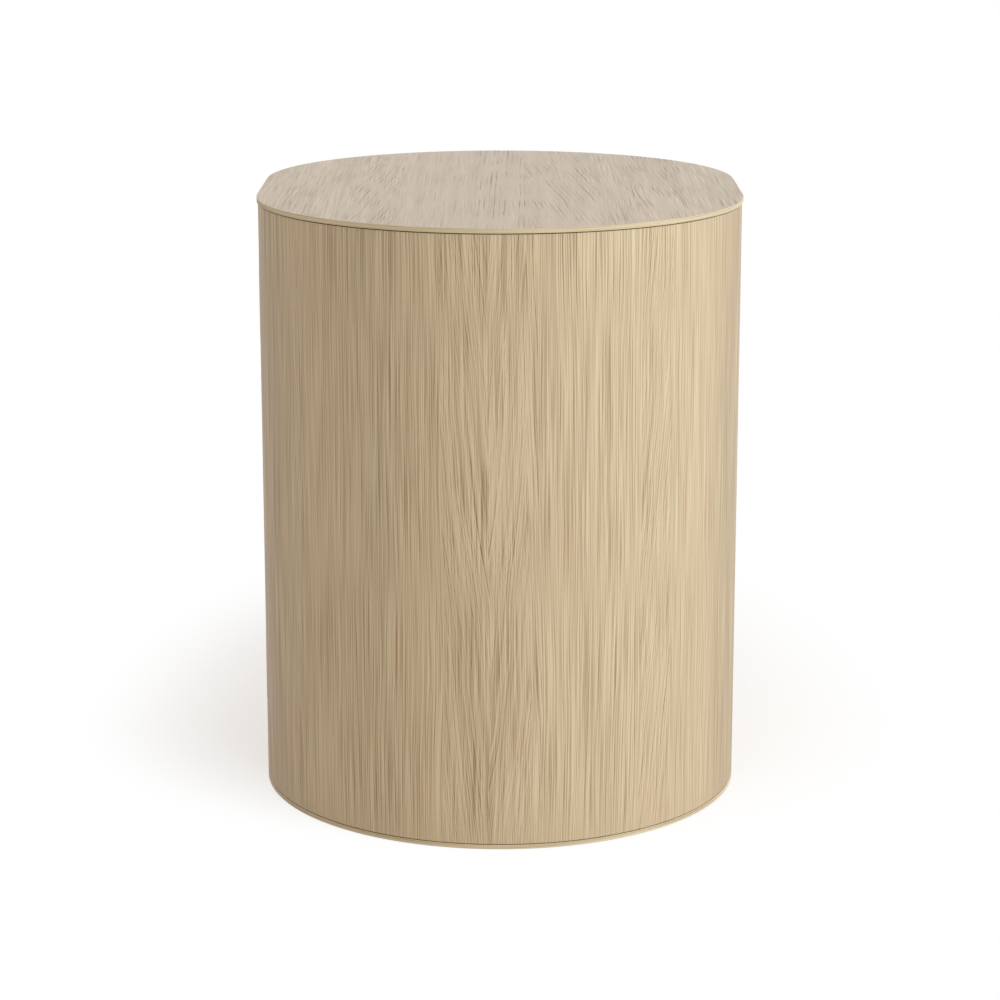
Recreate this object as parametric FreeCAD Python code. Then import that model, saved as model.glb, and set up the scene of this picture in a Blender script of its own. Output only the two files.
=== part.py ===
"""Oak storage table on an obround plan, whose front half is a curved door without a handle.

The plan is two half circles joined by straight flanks. A U-shaped bent wall stands between a
top and a base board, and a half-round door closes the front. It turns on butt hinges that lie
in the left flank's seam, and a push latch in the right post holds it.

Origin at the middle of the footprint, on the floor. +Z is up, the door faces -Y.
All lengths are in millimetres.
"""
import FreeCAD, Part
import math
import os

# Whole table
TABLE_WIDTH = 400.0
FLANK_LENGTH = 100.0
TABLE_HEIGHT = 498.0

# Top and base: a thin veneered cap glued to a core board that sits inside the walls
TOP_CAP_THICKNESS = 3.2
BASE_CAP_THICKNESS = 3.6
CORE_THICKNESS = 19.0
TOP_OVERHANG = 1.0
SHADOW_GAP = 1.0

# Bent walls and the seams between them
WALL_THICKNESS = 12.0
SEAM_GAP = 2.0
SEAM_CHAMFER = 2.0
GLUE_LINE = 0.1

# Posts behind the seams
POST_WIDTH = 28.0
POST_DEPTH = 45.0
POST_CHAMFER = 1.5
POST_SCREW_RADIUS = 2.0
POST_SCREW_HEAD_RADIUS = 4.0
POST_SCREW_HEAD_HEIGHT = 2.4
POST_SCREW_GRIP = 26.0

# Door frame behind the bent shell
DOOR_CLEARANCE = 2.0
STILE_DEPTH = 30.0
RIB_WIDTH = 24.0
RIB_THICKNESS = 16.0

# Butt hinges
HINGE_LENGTH = 60.0
HINGE_END_DISTANCE = 70.0
KNUCKLE_RADIUS = 2.4
KNUCKLE_PROUD = 0.9
KNUCKLE_COUNT = 3
KNUCKLE_CLEARANCE = 0.3
PIN_RADIUS = 1.2
PIN_FIT = 0.05
LEAF_WIDTH = 32.0
LEAF_THICKNESS = 0.8
HINGE_SCREW_RADIUS = 1.5
HINGE_SCREW_HEAD_RADIUS = 2.8
HINGE_SCREW_LENGTH = 16.0
HINGE_SCREW_SPACING = 36.0
HINGE_SCREW_EDGE = 8.0

# Shelf and the pegs it lies on
SHELF_THICKNESS = 16.0
SHELF_CLEARANCE = 2.0
PEG_HOLE_RADIUS = 2.5
PEG_HOLE_DEPTH = 9.0
PEG_HOLE_PITCH = 32.0
PEG_HOLE_COUNT = 3
PEG_FIT = 0.1
PEG_REACH = 8.0
REAR_PEG_ANGLE = 60.0

# Push latch in the right post, and its strike on the door
LATCH_RADIUS = 5.0
LATCH_LENGTH = 36.0
LATCH_BORE_RADIUS = 3.0
LATCH_FIT = 0.05
LATCH_END_WALL = 1.2
PLUNGER_LENGTH = 20.0
PLUNGER_STRIKE_GAP = 0.3
MAGNET_RADIUS = 1.8
MAGNET_LENGTH = 3.0
SPRING_RADIUS = 2.2
SPRING_WIRE_THICKNESS = 0.5
SPRING_GAP = 1.8
STRIKE_WIDTH = 14.0
STRIKE_HEIGHT = 24.0
STRIKE_THICKNESS = 0.8
STRIKE_SCREW_OFFSET = 8.0
STRIKE_SCREW_LENGTH = 12.0

# Felt glides under the base
GLIDE_X = 120.0
GLIDE_Y = 140.0
GLIDE_RADIUS = 14.0
GLIDE_THICKNESS = 1.0

# How far every cut runs past the faces it opens
OVERRUN = 5.0

# Screws, pegs and their holes repeat, so their rounds have this many flat sides
SMALL_ROUND_SIDES = 12

# Places worked out from the sizes above
CAP_RADIUS = TABLE_WIDTH / 2
WALL_RADIUS = CAP_RADIUS - TOP_OVERHANG
WALL_INNER_RADIUS = WALL_RADIUS - WALL_THICKNESS
CORE_RADIUS = WALL_INNER_RADIUS - GLUE_LINE
DOOR_CORE_RADIUS = WALL_INNER_RADIUS - DOOR_CLEARANCE
FLANK_HALF = FLANK_LENGTH / 2
SEAM_Y = -FLANK_HALF
REAR_END_Y = SEAM_Y + SEAM_GAP / 2
DOOR_END_Y = SEAM_Y - SEAM_GAP / 2
REACH = CAP_RADIUS + FLANK_HALF + OVERRUN

BASE_CAP_LOW = GLIDE_THICKNESS
BASE_CORE_LOW = BASE_CAP_LOW + BASE_CAP_THICKNESS
FLOOR_LEVEL = BASE_CORE_LOW + CORE_THICKNESS
TOP_CAP_LOW = TABLE_HEIGHT - TOP_CAP_THICKNESS
CEILING_LEVEL = TOP_CAP_LOW - CORE_THICKNESS
WALL_LOW = BASE_CORE_LOW + SHADOW_GAP
WALL_HIGH = TOP_CAP_LOW - SHADOW_GAP
MIDDLE_LEVEL = (FLOOR_LEVEL + CEILING_LEVEL) / 2

POST_INNER_X = WALL_INNER_RADIUS - POST_WIDTH
POST_MIDDLE_X = WALL_INNER_RADIUS - POST_WIDTH / 2
POST_BACK_Y = REAR_END_Y + POST_DEPTH
POST_MIDDLE_Y = REAR_END_Y + POST_DEPTH / 2

FRAME_LOW = FLOOR_LEVEL + DOOR_CLEARANCE
FRAME_HIGH = CEILING_LEVEL - DOOR_CLEARANCE
STILE_BACK_Y = DOOR_END_Y - STILE_DEPTH

HINGE_X = -(WALL_RADIUS + KNUCKLE_PROUD - KNUCKLE_RADIUS)
HINGE_LEVELS = {
    "bottom": FLOOR_LEVEL + HINGE_END_DISTANCE,
    "top": CEILING_LEVEL - HINGE_END_DISTANCE,
}
RELIEF_RADIUS = KNUCKLE_RADIUS + KNUCKLE_CLEARANCE
KNUCKLE_LENGTH = HINGE_LENGTH / KNUCKLE_COUNT
HINGE_SCREW_X = HINGE_X + LEAF_WIDTH - HINGE_SCREW_EDGE

PEG_LEVEL = MIDDLE_LEVEL
PEG_RADIUS = PEG_HOLE_RADIUS - PEG_FIT
SHELF_LOW = PEG_LEVEL + PEG_RADIUS
LATCH_LEVEL = MIDDLE_LEVEL + PEG_HOLE_PITCH / 2
PLUNGER_TIP_Y = DOOR_END_Y + PLUNGER_STRIKE_GAP

UP = FreeCAD.Vector(0, 0, 1)
DOWN = FreeCAD.Vector(0, 0, -1)
BACKWARD = FreeCAD.Vector(0, 1, 0)
FORWARD = FreeCAD.Vector(0, -1, 0)


def at(x, y, z):
    """A point or a direction."""
    return FreeCAD.Vector(x, y, z)


def block(low, high):
    """A square-edged block between two opposite corners."""
    return Part.makeBox(high[0] - low[0], high[1] - low[1], high[2] - low[2], at(*low))


def obround_slab(radius, low, high):
    """A slab on the table's plan, with the given radius at both ends."""
    right_front = at(radius, -FLANK_HALF, low)
    right_rear = at(radius, FLANK_HALF, low)
    left_rear = at(-radius, FLANK_HALF, low)
    left_front = at(-radius, -FLANK_HALF, low)
    rear_tip = at(0, FLANK_HALF + radius, low)
    front_tip = at(0, -FLANK_HALF - radius, low)
    edges = [
        Part.LineSegment(right_front, right_rear).toShape(),
        Part.Arc(right_rear, rear_tip, left_rear).toShape(),
        Part.LineSegment(left_rear, left_front).toShape(),
        Part.Arc(left_front, front_tip, right_front).toShape(),
    ]
    return Part.Face(Part.Wire(edges)).extrude(UP * (high - low))


def obround_ring(outer_radius, inner_radius, low, high):
    """A wall that follows the table's plan."""
    inside = obround_slab(inner_radius, low - OVERRUN, high + OVERRUN)
    return obround_slab(outer_radius, low, high).cut(inside)


def behind(y, low, high):
    """The space behind a plane across the table, between two heights."""
    return block((-REACH, y, low), (REACH, REACH, high))


def in_front_of(y, low, high):
    """The space in front of a plane across the table, between two heights."""
    return block((-REACH, -REACH, low), (REACH, y, high))


def turned(profile, base, direction):
    """A turned piece: a closed outline of (radius, height) points spun about its own axis."""
    points = [at(radius, 0, height) for radius, height in profile]
    outline = Part.makePolygon(points + points[:1])
    piece = Part.Face(outline).revolve(at(0, 0, 0), UP, 360)
    piece.Placement = FreeCAD.Placement(base, FreeCAD.Rotation(UP, direction))
    return piece


def rod(radius, base, direction, length):
    """A plain round rod, also used to cut round holes."""
    return Part.makeCylinder(radius, length, base, direction)


def prism(outline, low, high):
    """An upright prism on a closed outline of (x, y) points."""
    points = [at(x, y, low) for x, y in outline]
    return Part.Face(Part.makePolygon(points + points[:1])).extrude(UP * (high - low))


def many_sided_outline(radius, height):
    """The flat-sided outline that stands for a small circle about the upright axis."""
    turns = [2 * math.pi * side / SMALL_ROUND_SIDES for side in range(SMALL_ROUND_SIDES)]
    points = [at(radius * math.cos(turn), radius * math.sin(turn), height) for turn in turns]
    return Part.makePolygon(points + points[:1])


def flat_sides(low, high):
    """The flat faces between two flat-sided outlines of one axis."""
    lower = [edge.Vertexes[0].Point for edge in low.OrderedEdges]
    upper = [edge.Vertexes[0].Point for edge in high.OrderedEdges]
    faces = []
    for index in range(SMALL_ROUND_SIDES):
        following = (index + 1) % SMALL_ROUND_SIDES
        corners = [lower[index], lower[following], upper[following], upper[index], lower[index]]
        faces.append(Part.Face(Part.makePolygon(corners)))
    return faces


def small_rod(radius, base, direction, length):
    """A small flat-sided rod, also used to cut small holes."""
    piece = Part.Face(many_sided_outline(radius, 0)).extrude(UP * length)
    piece.Placement = FreeCAD.Placement(base, FreeCAD.Rotation(UP, direction))
    return piece


def countersunk_screw(head_radius, head_height, radius, length, base, direction):
    """A wood screw: a tapered head and a plain shank."""
    rings = [
        many_sided_outline(head_radius, 0),
        many_sided_outline(radius, head_height),
        many_sided_outline(radius, length),
    ]
    sides = [side for low, high in zip(rings, rings[1:]) for side in flat_sides(low, high)]
    ends = [Part.Face(rings[0]), Part.Face(rings[-1])]
    piece = Part.makeSolid(Part.makeShell(ends + sides))
    piece.Placement = FreeCAD.Placement(base, FreeCAD.Rotation(UP, direction))
    return piece


def top_cap_board():
    """The visible top: a thin cap that stands out over the walls all round."""
    return obround_slab(CAP_RADIUS, TOP_CAP_LOW, TABLE_HEIGHT)


def base_cap_board():
    """The thin lower cap, flush with the walls."""
    return obround_slab(WALL_RADIUS, BASE_CAP_LOW, BASE_CORE_LOW)


def core_board(low, high):
    """A core board: glued to the rear wall, and clear of the door in front of the seams."""
    board = obround_slab(CORE_RADIUS, low, high)
    rim = obround_ring(REACH, DOOR_CORE_RADIUS, low, high)
    rim = rim.common(in_front_of(REAR_END_Y, low, high))
    return board.cut(rim)


def top_core_board():
    """The core under the top cap, bored for the upper post screws."""
    board = core_board(CEILING_LEVEL, TOP_CAP_LOW)
    for screw in post_screws(TOP_CAP_LOW, DOWN):
        board = board.cut(screw)
    return board


def base_core_board():
    """The core on the base cap, bored for the lower post screws."""
    board = core_board(BASE_CORE_LOW, FLOOR_LEVEL)
    for screw in post_screws(BASE_CORE_LOW, UP):
        board = board.cut(screw)
    return board


def post_screws(start, direction):
    """The screws that hold a core board to the ends of the two posts."""
    length = CORE_THICKNESS + POST_SCREW_GRIP
    return [
        countersunk_screw(POST_SCREW_HEAD_RADIUS, POST_SCREW_HEAD_HEIGHT, POST_SCREW_RADIUS,
                          length, at(side * POST_MIDDLE_X, POST_MIDDLE_Y, start), direction)
        for side in (-1, 1)
    ]


def seam_chamfer(side, low, high):
    """The prism that eases the outer corners on both sides of one seam."""
    inner_x = side * (WALL_RADIUS - SEAM_CHAMFER)
    outer_x = side * (WALL_RADIUS + OVERRUN)
    spread = SEAM_CHAMFER + OVERRUN
    outline = [
        (inner_x, DOOR_END_Y),
        (inner_x, REAR_END_Y),
        (outer_x, REAR_END_Y + spread),
        (outer_x, DOOR_END_Y - spread),
    ]
    return prism(outline, low, high)


def hinge_relief(level):
    """The cove that makes room for a hinge's knuckles in both walls."""
    half = HINGE_LENGTH / 2 + KNUCKLE_CLEARANCE
    return rod(RELIEF_RADIUS, at(HINGE_X, SEAM_Y, level - half), UP, 2 * half)


def bent_wall(space):
    """A bent wall that fills the given part of the plan, with its seam corners eased."""
    wall = obround_ring(WALL_RADIUS, WALL_INNER_RADIUS, WALL_LOW, WALL_HIGH).common(space)
    for side in (-1, 1):
        wall = wall.cut(seam_chamfer(side, WALL_LOW - OVERRUN, WALL_HIGH + OVERRUN))
    for level in HINGE_LEVELS.values():
        wall = wall.cut(hinge_relief(level))
    return wall


def rear_wall():
    """The fixed U-shaped wall, with two rows of peg holes in its curve."""
    wall = bent_wall(behind(REAR_END_Y, WALL_LOW, WALL_HIGH))
    for side in (-1, 1):
        for level in peg_hole_levels():
            wall = wall.cut(rear_peg_hole(side, level))
    return wall


def door_shell():
    """The half-round door skin."""
    return bent_wall(in_front_of(DOOR_END_Y, WALL_LOW, WALL_HIGH))


def peg_hole_levels():
    """Heights of the peg holes, evenly spread about the shelf's own pegs."""
    middle = (PEG_HOLE_COUNT - 1) / 2
    return [PEG_LEVEL + (index - middle) * PEG_HOLE_PITCH for index in range(PEG_HOLE_COUNT)]


def rear_peg_direction(side):
    """The way from the rear curve's centre to a rear peg."""
    angle = math.radians(REAR_PEG_ANGLE)
    return at(side * math.cos(angle), math.sin(angle), 0)


def rear_peg_mouth(side, level):
    """The point where a rear peg leaves the curved wall."""
    return at(0, FLANK_HALF, level) + rear_peg_direction(side) * WALL_INNER_RADIUS


def rear_peg_hole(side, level):
    """A blind hole into the rear curve."""
    outward = rear_peg_direction(side)
    start = rear_peg_mouth(side, level) - outward * OVERRUN
    return small_rod(PEG_HOLE_RADIUS, start, outward, PEG_HOLE_DEPTH + OVERRUN)


def post(side):
    """An upright post behind one seam, bored for pegs and screws."""
    inner_x = side * POST_INNER_X
    outer_x = side * WALL_INNER_RADIUS
    eased_x = inner_x + side * POST_CHAMFER
    outline = [
        (outer_x, REAR_END_Y),
        (eased_x, REAR_END_Y),
        (inner_x, REAR_END_Y + POST_CHAMFER),
        (inner_x, POST_BACK_Y - POST_CHAMFER),
        (eased_x, POST_BACK_Y),
        (outer_x, POST_BACK_Y),
    ]
    piece = prism(outline, FLOOR_LEVEL, CEILING_LEVEL)
    outward = at(side, 0, 0)
    for level in peg_hole_levels():
        start = at(inner_x, POST_MIDDLE_Y, level) - outward * OVERRUN
        piece = piece.cut(small_rod(PEG_HOLE_RADIUS, start, outward, PEG_HOLE_DEPTH + OVERRUN))
    for screw in post_screws(BASE_CORE_LOW, UP) + post_screws(TOP_CAP_LOW, DOWN):
        piece = piece.cut(screw)
    return piece


def left_post():
    """The hinge post, bored for the hinge screws."""
    piece = post(-1)
    for screw in hinge_screws(REAR_END_Y - LEAF_THICKNESS, BACKWARD):
        piece = piece.cut(screw)
    return piece


def right_post():
    """The latch post, bored for the latch."""
    bore = rod(LATCH_RADIUS, at(POST_MIDDLE_X, REAR_END_Y - OVERRUN, LATCH_LEVEL),
               BACKWARD, LATCH_LENGTH + OVERRUN)
    return post(1).cut(bore)


def shelf():
    """The shelf: it passes between the posts and rounds off inside the door's bow."""
    low = SHELF_LOW
    high = SHELF_LOW + SHELF_THICKNESS
    neck_half = POST_INNER_X - SHELF_CLEARANCE
    shoulder_y = POST_BACK_Y + SHELF_CLEARANCE
    body = obround_slab(WALL_INNER_RADIUS - SHELF_CLEARANCE, low, high)
    body = body.common(behind(shoulder_y, low, high))
    tongue = obround_slab(neck_half, low, high)
    tongue = tongue.common(in_front_of(shoulder_y, low, high))
    return body.fuse(tongue).removeSplitter()


def peg(mouth, outward):
    """A plain round shelf peg, from the bottom of its hole to its free end under the shelf."""
    shaft = PEG_HOLE_DEPTH - PEG_FIT
    return small_rod(PEG_RADIUS, mouth - outward * PEG_REACH, outward, shaft + PEG_REACH)


def front_peg(side):
    """The peg in one post."""
    return peg(at(side * POST_INNER_X, POST_MIDDLE_Y, PEG_LEVEL), at(side, 0, 0))


def rear_peg(side):
    """The peg in one side of the rear curve."""
    return peg(rear_peg_mouth(side, PEG_LEVEL), rear_peg_direction(side))


def stile(side):
    """An upright behind one edge of the door, shaped to the inside of its curve."""
    inner_x = side * POST_INNER_X
    outer_x = side * WALL_INNER_RADIUS
    low = (min(inner_x, outer_x), STILE_BACK_Y, FRAME_LOW)
    high = (max(inner_x, outer_x), DOOR_END_Y, FRAME_HIGH)
    return block(low, high).common(obround_slab(CORE_RADIUS, FRAME_LOW, FRAME_HIGH))


def left_stile():
    """The hinge stile, bored for the hinge screws."""
    piece = stile(-1)
    for screw in hinge_screws(DOOR_END_Y + LEAF_THICKNESS, FORWARD):
        piece = piece.cut(screw)
    return piece


def right_stile():
    """The latch stile, with a flush seat for the strike."""
    piece = stile(1).cut(strike_block(STRIKE_THICKNESS + OVERRUN))
    for screw in strike_screws():
        piece = piece.cut(screw)
    return piece


def rib(low):
    """A half-round rib between the stiles, glued to the inside of the door skin."""
    high = low + RIB_THICKNESS
    ring = obround_ring(CORE_RADIUS, CORE_RADIUS - RIB_WIDTH, low, high)
    return ring.common(in_front_of(STILE_BACK_Y, low, high))


def knuckles(level, indices, radius, clearance):
    """Round knuckle lengths of one hinge, counted from its lower end."""
    low = level - HINGE_LENGTH / 2
    pieces = []
    for index in indices:
        start = low + index * KNUCKLE_LENGTH + clearance
        length = KNUCKLE_LENGTH - 2 * clearance
        pieces.append(rod(radius, at(HINGE_X, SEAM_Y, start), UP, length))
    return pieces


def hinge_leaf(level, face_y, inward, own, other):
    """A leaf with its own knuckles, notched round the knuckles of the other leaf.

    face_y is the wood face that the leaf lies on, and inward points from it into the seam.
    """
    half = HINGE_LENGTH / 2
    far_y = face_y + inward * LEAF_THICKNESS
    low = (HINGE_X, min(face_y, far_y), level - half)
    high = (HINGE_X + LEAF_WIDTH, max(face_y, far_y), level + half)
    leaf = block(low, high)
    for knuckle in knuckles(level, own, KNUCKLE_RADIUS, KNUCKLE_CLEARANCE / 2):
        leaf = leaf.fuse(knuckle)
    for notch in knuckles(level, other, RELIEF_RADIUS, -KNUCKLE_CLEARANCE / 2):
        leaf = leaf.cut(notch)
    bore = rod(PIN_RADIUS + PIN_FIT, at(HINGE_X, SEAM_Y, level - HINGE_LENGTH), UP, 2 * HINGE_LENGTH)
    leaf = leaf.cut(bore)
    for screw in hinge_screws(far_y, at(0, -inward, 0)):
        leaf = leaf.cut(screw)
    return leaf.removeSplitter()


def fixed_leaf(level):
    """The leaf on the rear wall's end and the hinge post."""
    own = range(0, KNUCKLE_COUNT, 2)
    other = range(1, KNUCKLE_COUNT, 2)
    return hinge_leaf(level, REAR_END_Y, -1, own, other)


def door_leaf(level):
    """The leaf on the door's end and the hinge stile."""
    own = range(1, KNUCKLE_COUNT, 2)
    other = range(0, KNUCKLE_COUNT, 2)
    return hinge_leaf(level, DOOR_END_Y, 1, own, other)


def hinge_pin(level):
    """A hinge pin, flush with the ends of the knuckles."""
    start = at(HINGE_X, SEAM_Y, level - HINGE_LENGTH / 2)
    return rod(PIN_RADIUS, start, UP, HINGE_LENGTH)


def hinge_screws(start_y, direction):
    """The screws of one side of all the hinges, with flat heads flush in the leaves."""
    screws = []
    for level in HINGE_LEVELS.values():
        for end in (-1, 1):
            base = at(HINGE_SCREW_X, start_y, level + end * HINGE_SCREW_SPACING / 2)
            screws.append(countersunk_screw(HINGE_SCREW_HEAD_RADIUS, LEAF_THICKNESS,
                                            HINGE_SCREW_RADIUS, HINGE_SCREW_LENGTH,
                                            base, direction))
    return screws


def latch_housing():
    """The latch tube in the right post, closed at the back."""
    inside = LATCH_BORE_RADIUS
    back = LATCH_LENGTH - LATCH_END_WALL
    profile = [
        (inside, 0),
        (LATCH_RADIUS, 0),
        (LATCH_RADIUS, LATCH_LENGTH),
        (0, LATCH_LENGTH),
        (0, back),
        (inside, back),
    ]
    return turned(profile, at(POST_MIDDLE_X, REAR_END_Y, LATCH_LEVEL), BACKWARD)


def plunger_tip():
    """The tip of the plunger, a hair from the strike."""
    return at(POST_MIDDLE_X, PLUNGER_TIP_Y, LATCH_LEVEL)


def latch_plunger():
    """The plunger that runs in the housing, with a socket for the magnet in its tip."""
    radius = LATCH_BORE_RADIUS - LATCH_FIT
    profile = [
        (MAGNET_RADIUS, 0),
        (radius, 0),
        (radius, PLUNGER_LENGTH),
        (0, PLUNGER_LENGTH),
        (0, MAGNET_LENGTH),
        (MAGNET_RADIUS, MAGNET_LENGTH),
    ]
    return turned(profile, plunger_tip(), BACKWARD)


def latch_magnet():
    """The magnet in the plunger's tip."""
    return rod(MAGNET_RADIUS, plunger_tip(), BACKWARD, MAGNET_LENGTH)


def latch_spring():
    """The pressed-in coil spring, as a plain sleeve that leaves the plunger room to move in."""
    start_y = PLUNGER_TIP_Y + PLUNGER_LENGTH + SPRING_GAP
    end_y = REAR_END_Y + LATCH_LENGTH - LATCH_END_WALL
    start = at(POST_MIDDLE_X, start_y, LATCH_LEVEL)
    sleeve = rod(SPRING_RADIUS, start, BACKWARD, end_y - start_y)
    inside = rod(SPRING_RADIUS - SPRING_WIRE_THICKNESS, start, BACKWARD, end_y - start_y)
    return sleeve.cut(inside)


def strike_block(depth):
    """A block as wide and high as the strike, from its bedded face towards the seam."""
    low_x = POST_MIDDLE_X - STRIKE_WIDTH / 2
    low_y = DOOR_END_Y - STRIKE_THICKNESS
    low_z = LATCH_LEVEL - STRIKE_HEIGHT / 2
    high = (low_x + STRIKE_WIDTH, low_y + depth, low_z + STRIKE_HEIGHT)
    return block((low_x, low_y, low_z), high)


def strike_plate():
    """The steel strike, let in flush with the latch stile."""
    plate = strike_block(STRIKE_THICKNESS)
    for screw in strike_screws():
        plate = plate.cut(screw)
    return plate


def strike_screws():
    """The two screws of the strike, above and below the plunger."""
    return [
        countersunk_screw(HINGE_SCREW_HEAD_RADIUS, STRIKE_THICKNESS, HINGE_SCREW_RADIUS,
                          STRIKE_SCREW_LENGTH,
                          at(POST_MIDDLE_X, DOOR_END_Y, LATCH_LEVEL + side * STRIKE_SCREW_OFFSET),
                          FORWARD)
        for side in (-1, 1)
    ]


def glides():
    """The four felt glides that the table stands on."""
    return [
        rod(GLIDE_RADIUS, at(side * GLIDE_X, end * GLIDE_Y, 0), UP, GLIDE_THICKNESS)
        for side in (-1, 1)
        for end in (-1, 1)
    ]


def carcass():
    """The four boards, the rear wall, the posts and the shelf."""
    return {
        "top_cap_board": top_cap_board(),
        "top_core_board": top_core_board(),
        "base_core_board": base_core_board(),
        "base_cap_board": base_cap_board(),
        "rear_wall": rear_wall(),
        "left_post": left_post(),
        "right_post": right_post(),
        "shelf": shelf(),
    }


def fittings():
    """The shelf pegs, the screws that hold the carcass together and the glides."""
    return {
        "shelf_peg_front_left": front_peg(-1),
        "shelf_peg_front_right": front_peg(1),
        "shelf_peg_rear_left": rear_peg(-1),
        "shelf_peg_rear_right": rear_peg(1),
        "post_screws_top": Part.makeCompound(post_screws(TOP_CAP_LOW, DOWN)),
        "post_screws_base": Part.makeCompound(post_screws(BASE_CORE_LOW, UP)),
        "floor_glides": Part.makeCompound(glides()),
    }


def door():
    """The door skin and the frame behind it."""
    return {
        "door_shell": door_shell(),
        "door_left_stile": left_stile(),
        "door_right_stile": right_stile(),
        "door_top_rib": rib(FRAME_HIGH - RIB_THICKNESS),
        "door_bottom_rib": rib(FRAME_LOW),
    }


def hinges():
    """Both butt hinges and their screws."""
    nodes = {}
    for place, level in HINGE_LEVELS.items():
        nodes["hinge_" + place + "_fixed_leaf"] = fixed_leaf(level)
        nodes["hinge_" + place + "_door_leaf"] = door_leaf(level)
        nodes["hinge_" + place + "_pin"] = hinge_pin(level)
    fixed = hinge_screws(REAR_END_Y - LEAF_THICKNESS, BACKWARD)
    moving = hinge_screws(DOOR_END_Y + LEAF_THICKNESS, FORWARD)
    nodes["hinge_screws_carcass"] = Part.makeCompound(fixed)
    nodes["hinge_screws_door"] = Part.makeCompound(moving)
    return nodes


def latch():
    """The push latch and its strike."""
    return {
        "latch_housing": latch_housing(),
        "latch_plunger": latch_plunger(),
        "latch_magnet": latch_magnet(),
        "latch_spring": latch_spring(),
        "strike_plate": strike_plate(),
        "strike_screws": Part.makeCompound(strike_screws()),
    }


def main():
    """Builds every piece and writes one file for each."""
    os.makedirs("parts", exist_ok=True)
    for group in (carcass, fittings, door, hinges, latch):
        for node, shape in group().items():
            shape.exportStep("parts/" + node + ".step")
            print(node, len(shape.Solids), shape.isValid(), round(shape.Volume, 1))


main()
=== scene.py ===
"""Oak storage table on an obround plan, dressed for a plain studio picture.

The table has a curved door without a handle, a veneered top that stands out over a shadow gap,
a rear wall bent round the back, a shelf on pegs, two butt hinges in the left seam and a push
latch in the right post. Every length is in metres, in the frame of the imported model.
"""
import logging
import math
from contextlib import contextmanager
from dataclasses import dataclass
from enum import Enum
from typing import Callable, Iterable, Iterator, Sequence

import bmesh
import bpy
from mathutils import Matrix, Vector


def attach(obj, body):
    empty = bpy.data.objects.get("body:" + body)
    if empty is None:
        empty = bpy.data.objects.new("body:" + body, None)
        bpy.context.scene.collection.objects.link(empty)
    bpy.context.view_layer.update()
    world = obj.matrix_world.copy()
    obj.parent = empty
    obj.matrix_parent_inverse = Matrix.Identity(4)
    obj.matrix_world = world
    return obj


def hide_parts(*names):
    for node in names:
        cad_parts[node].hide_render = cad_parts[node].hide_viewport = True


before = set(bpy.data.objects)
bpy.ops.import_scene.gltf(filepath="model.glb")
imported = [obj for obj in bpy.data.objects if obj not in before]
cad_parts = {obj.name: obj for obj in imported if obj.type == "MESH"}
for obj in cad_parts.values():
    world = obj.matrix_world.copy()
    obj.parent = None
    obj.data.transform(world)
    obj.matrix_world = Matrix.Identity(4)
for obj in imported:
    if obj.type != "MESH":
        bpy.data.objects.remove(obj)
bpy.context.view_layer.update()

LOG = logging.getLogger("storage_table")

MM = 0.001
NEAR = MM / 100
TOUCHING = MM / 1000
ROUND_STEPS = 288
SMALL_STEPS = 48
HOLE_STEPS = 32
SCREW_STEPS = 24
SMOOTH_ANGLE = math.radians(32.0)
FLAT_SHARE = 0.9
SIDES = (-1.0, 1.0)

Triple = tuple[float, float, float]
Colour = tuple[float, float, float, float]
Profile = tuple[tuple[float, float], ...]
Piece = bpy.types.Object
Face = bpy.types.MeshPolygon
Material = bpy.types.Material
Socket = bpy.types.NodeSocket
Value = float | Colour | Socket
Test = Callable[..., bool]

UP: Triple = (0.0, 0.0, 1.0)
DOWN: Triple = (0.0, 0.0, -1.0)
BACK: Triple = (0.0, 1.0, 0.0)
FRONT: Triple = (0.0, -1.0, 0.0)


class Body(Enum):
    """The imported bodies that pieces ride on."""

    CARCASS = "carcass"
    DOOR = "door"
    PLUNGER = "plunger"


class Slot(Enum):
    """The record's material slots."""

    OAK = "oak_veneer"
    CORE = "core_wood"
    BRASS = "brass"
    STEEL = "steel"
    PLASTIC = "latch_plastic"
    FELT = "felt"


class Element(Enum):
    """What a selection is made of."""

    POINTS = "VERT"
    EDGES = "EDGE"
    FACES = "FACE"


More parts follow.
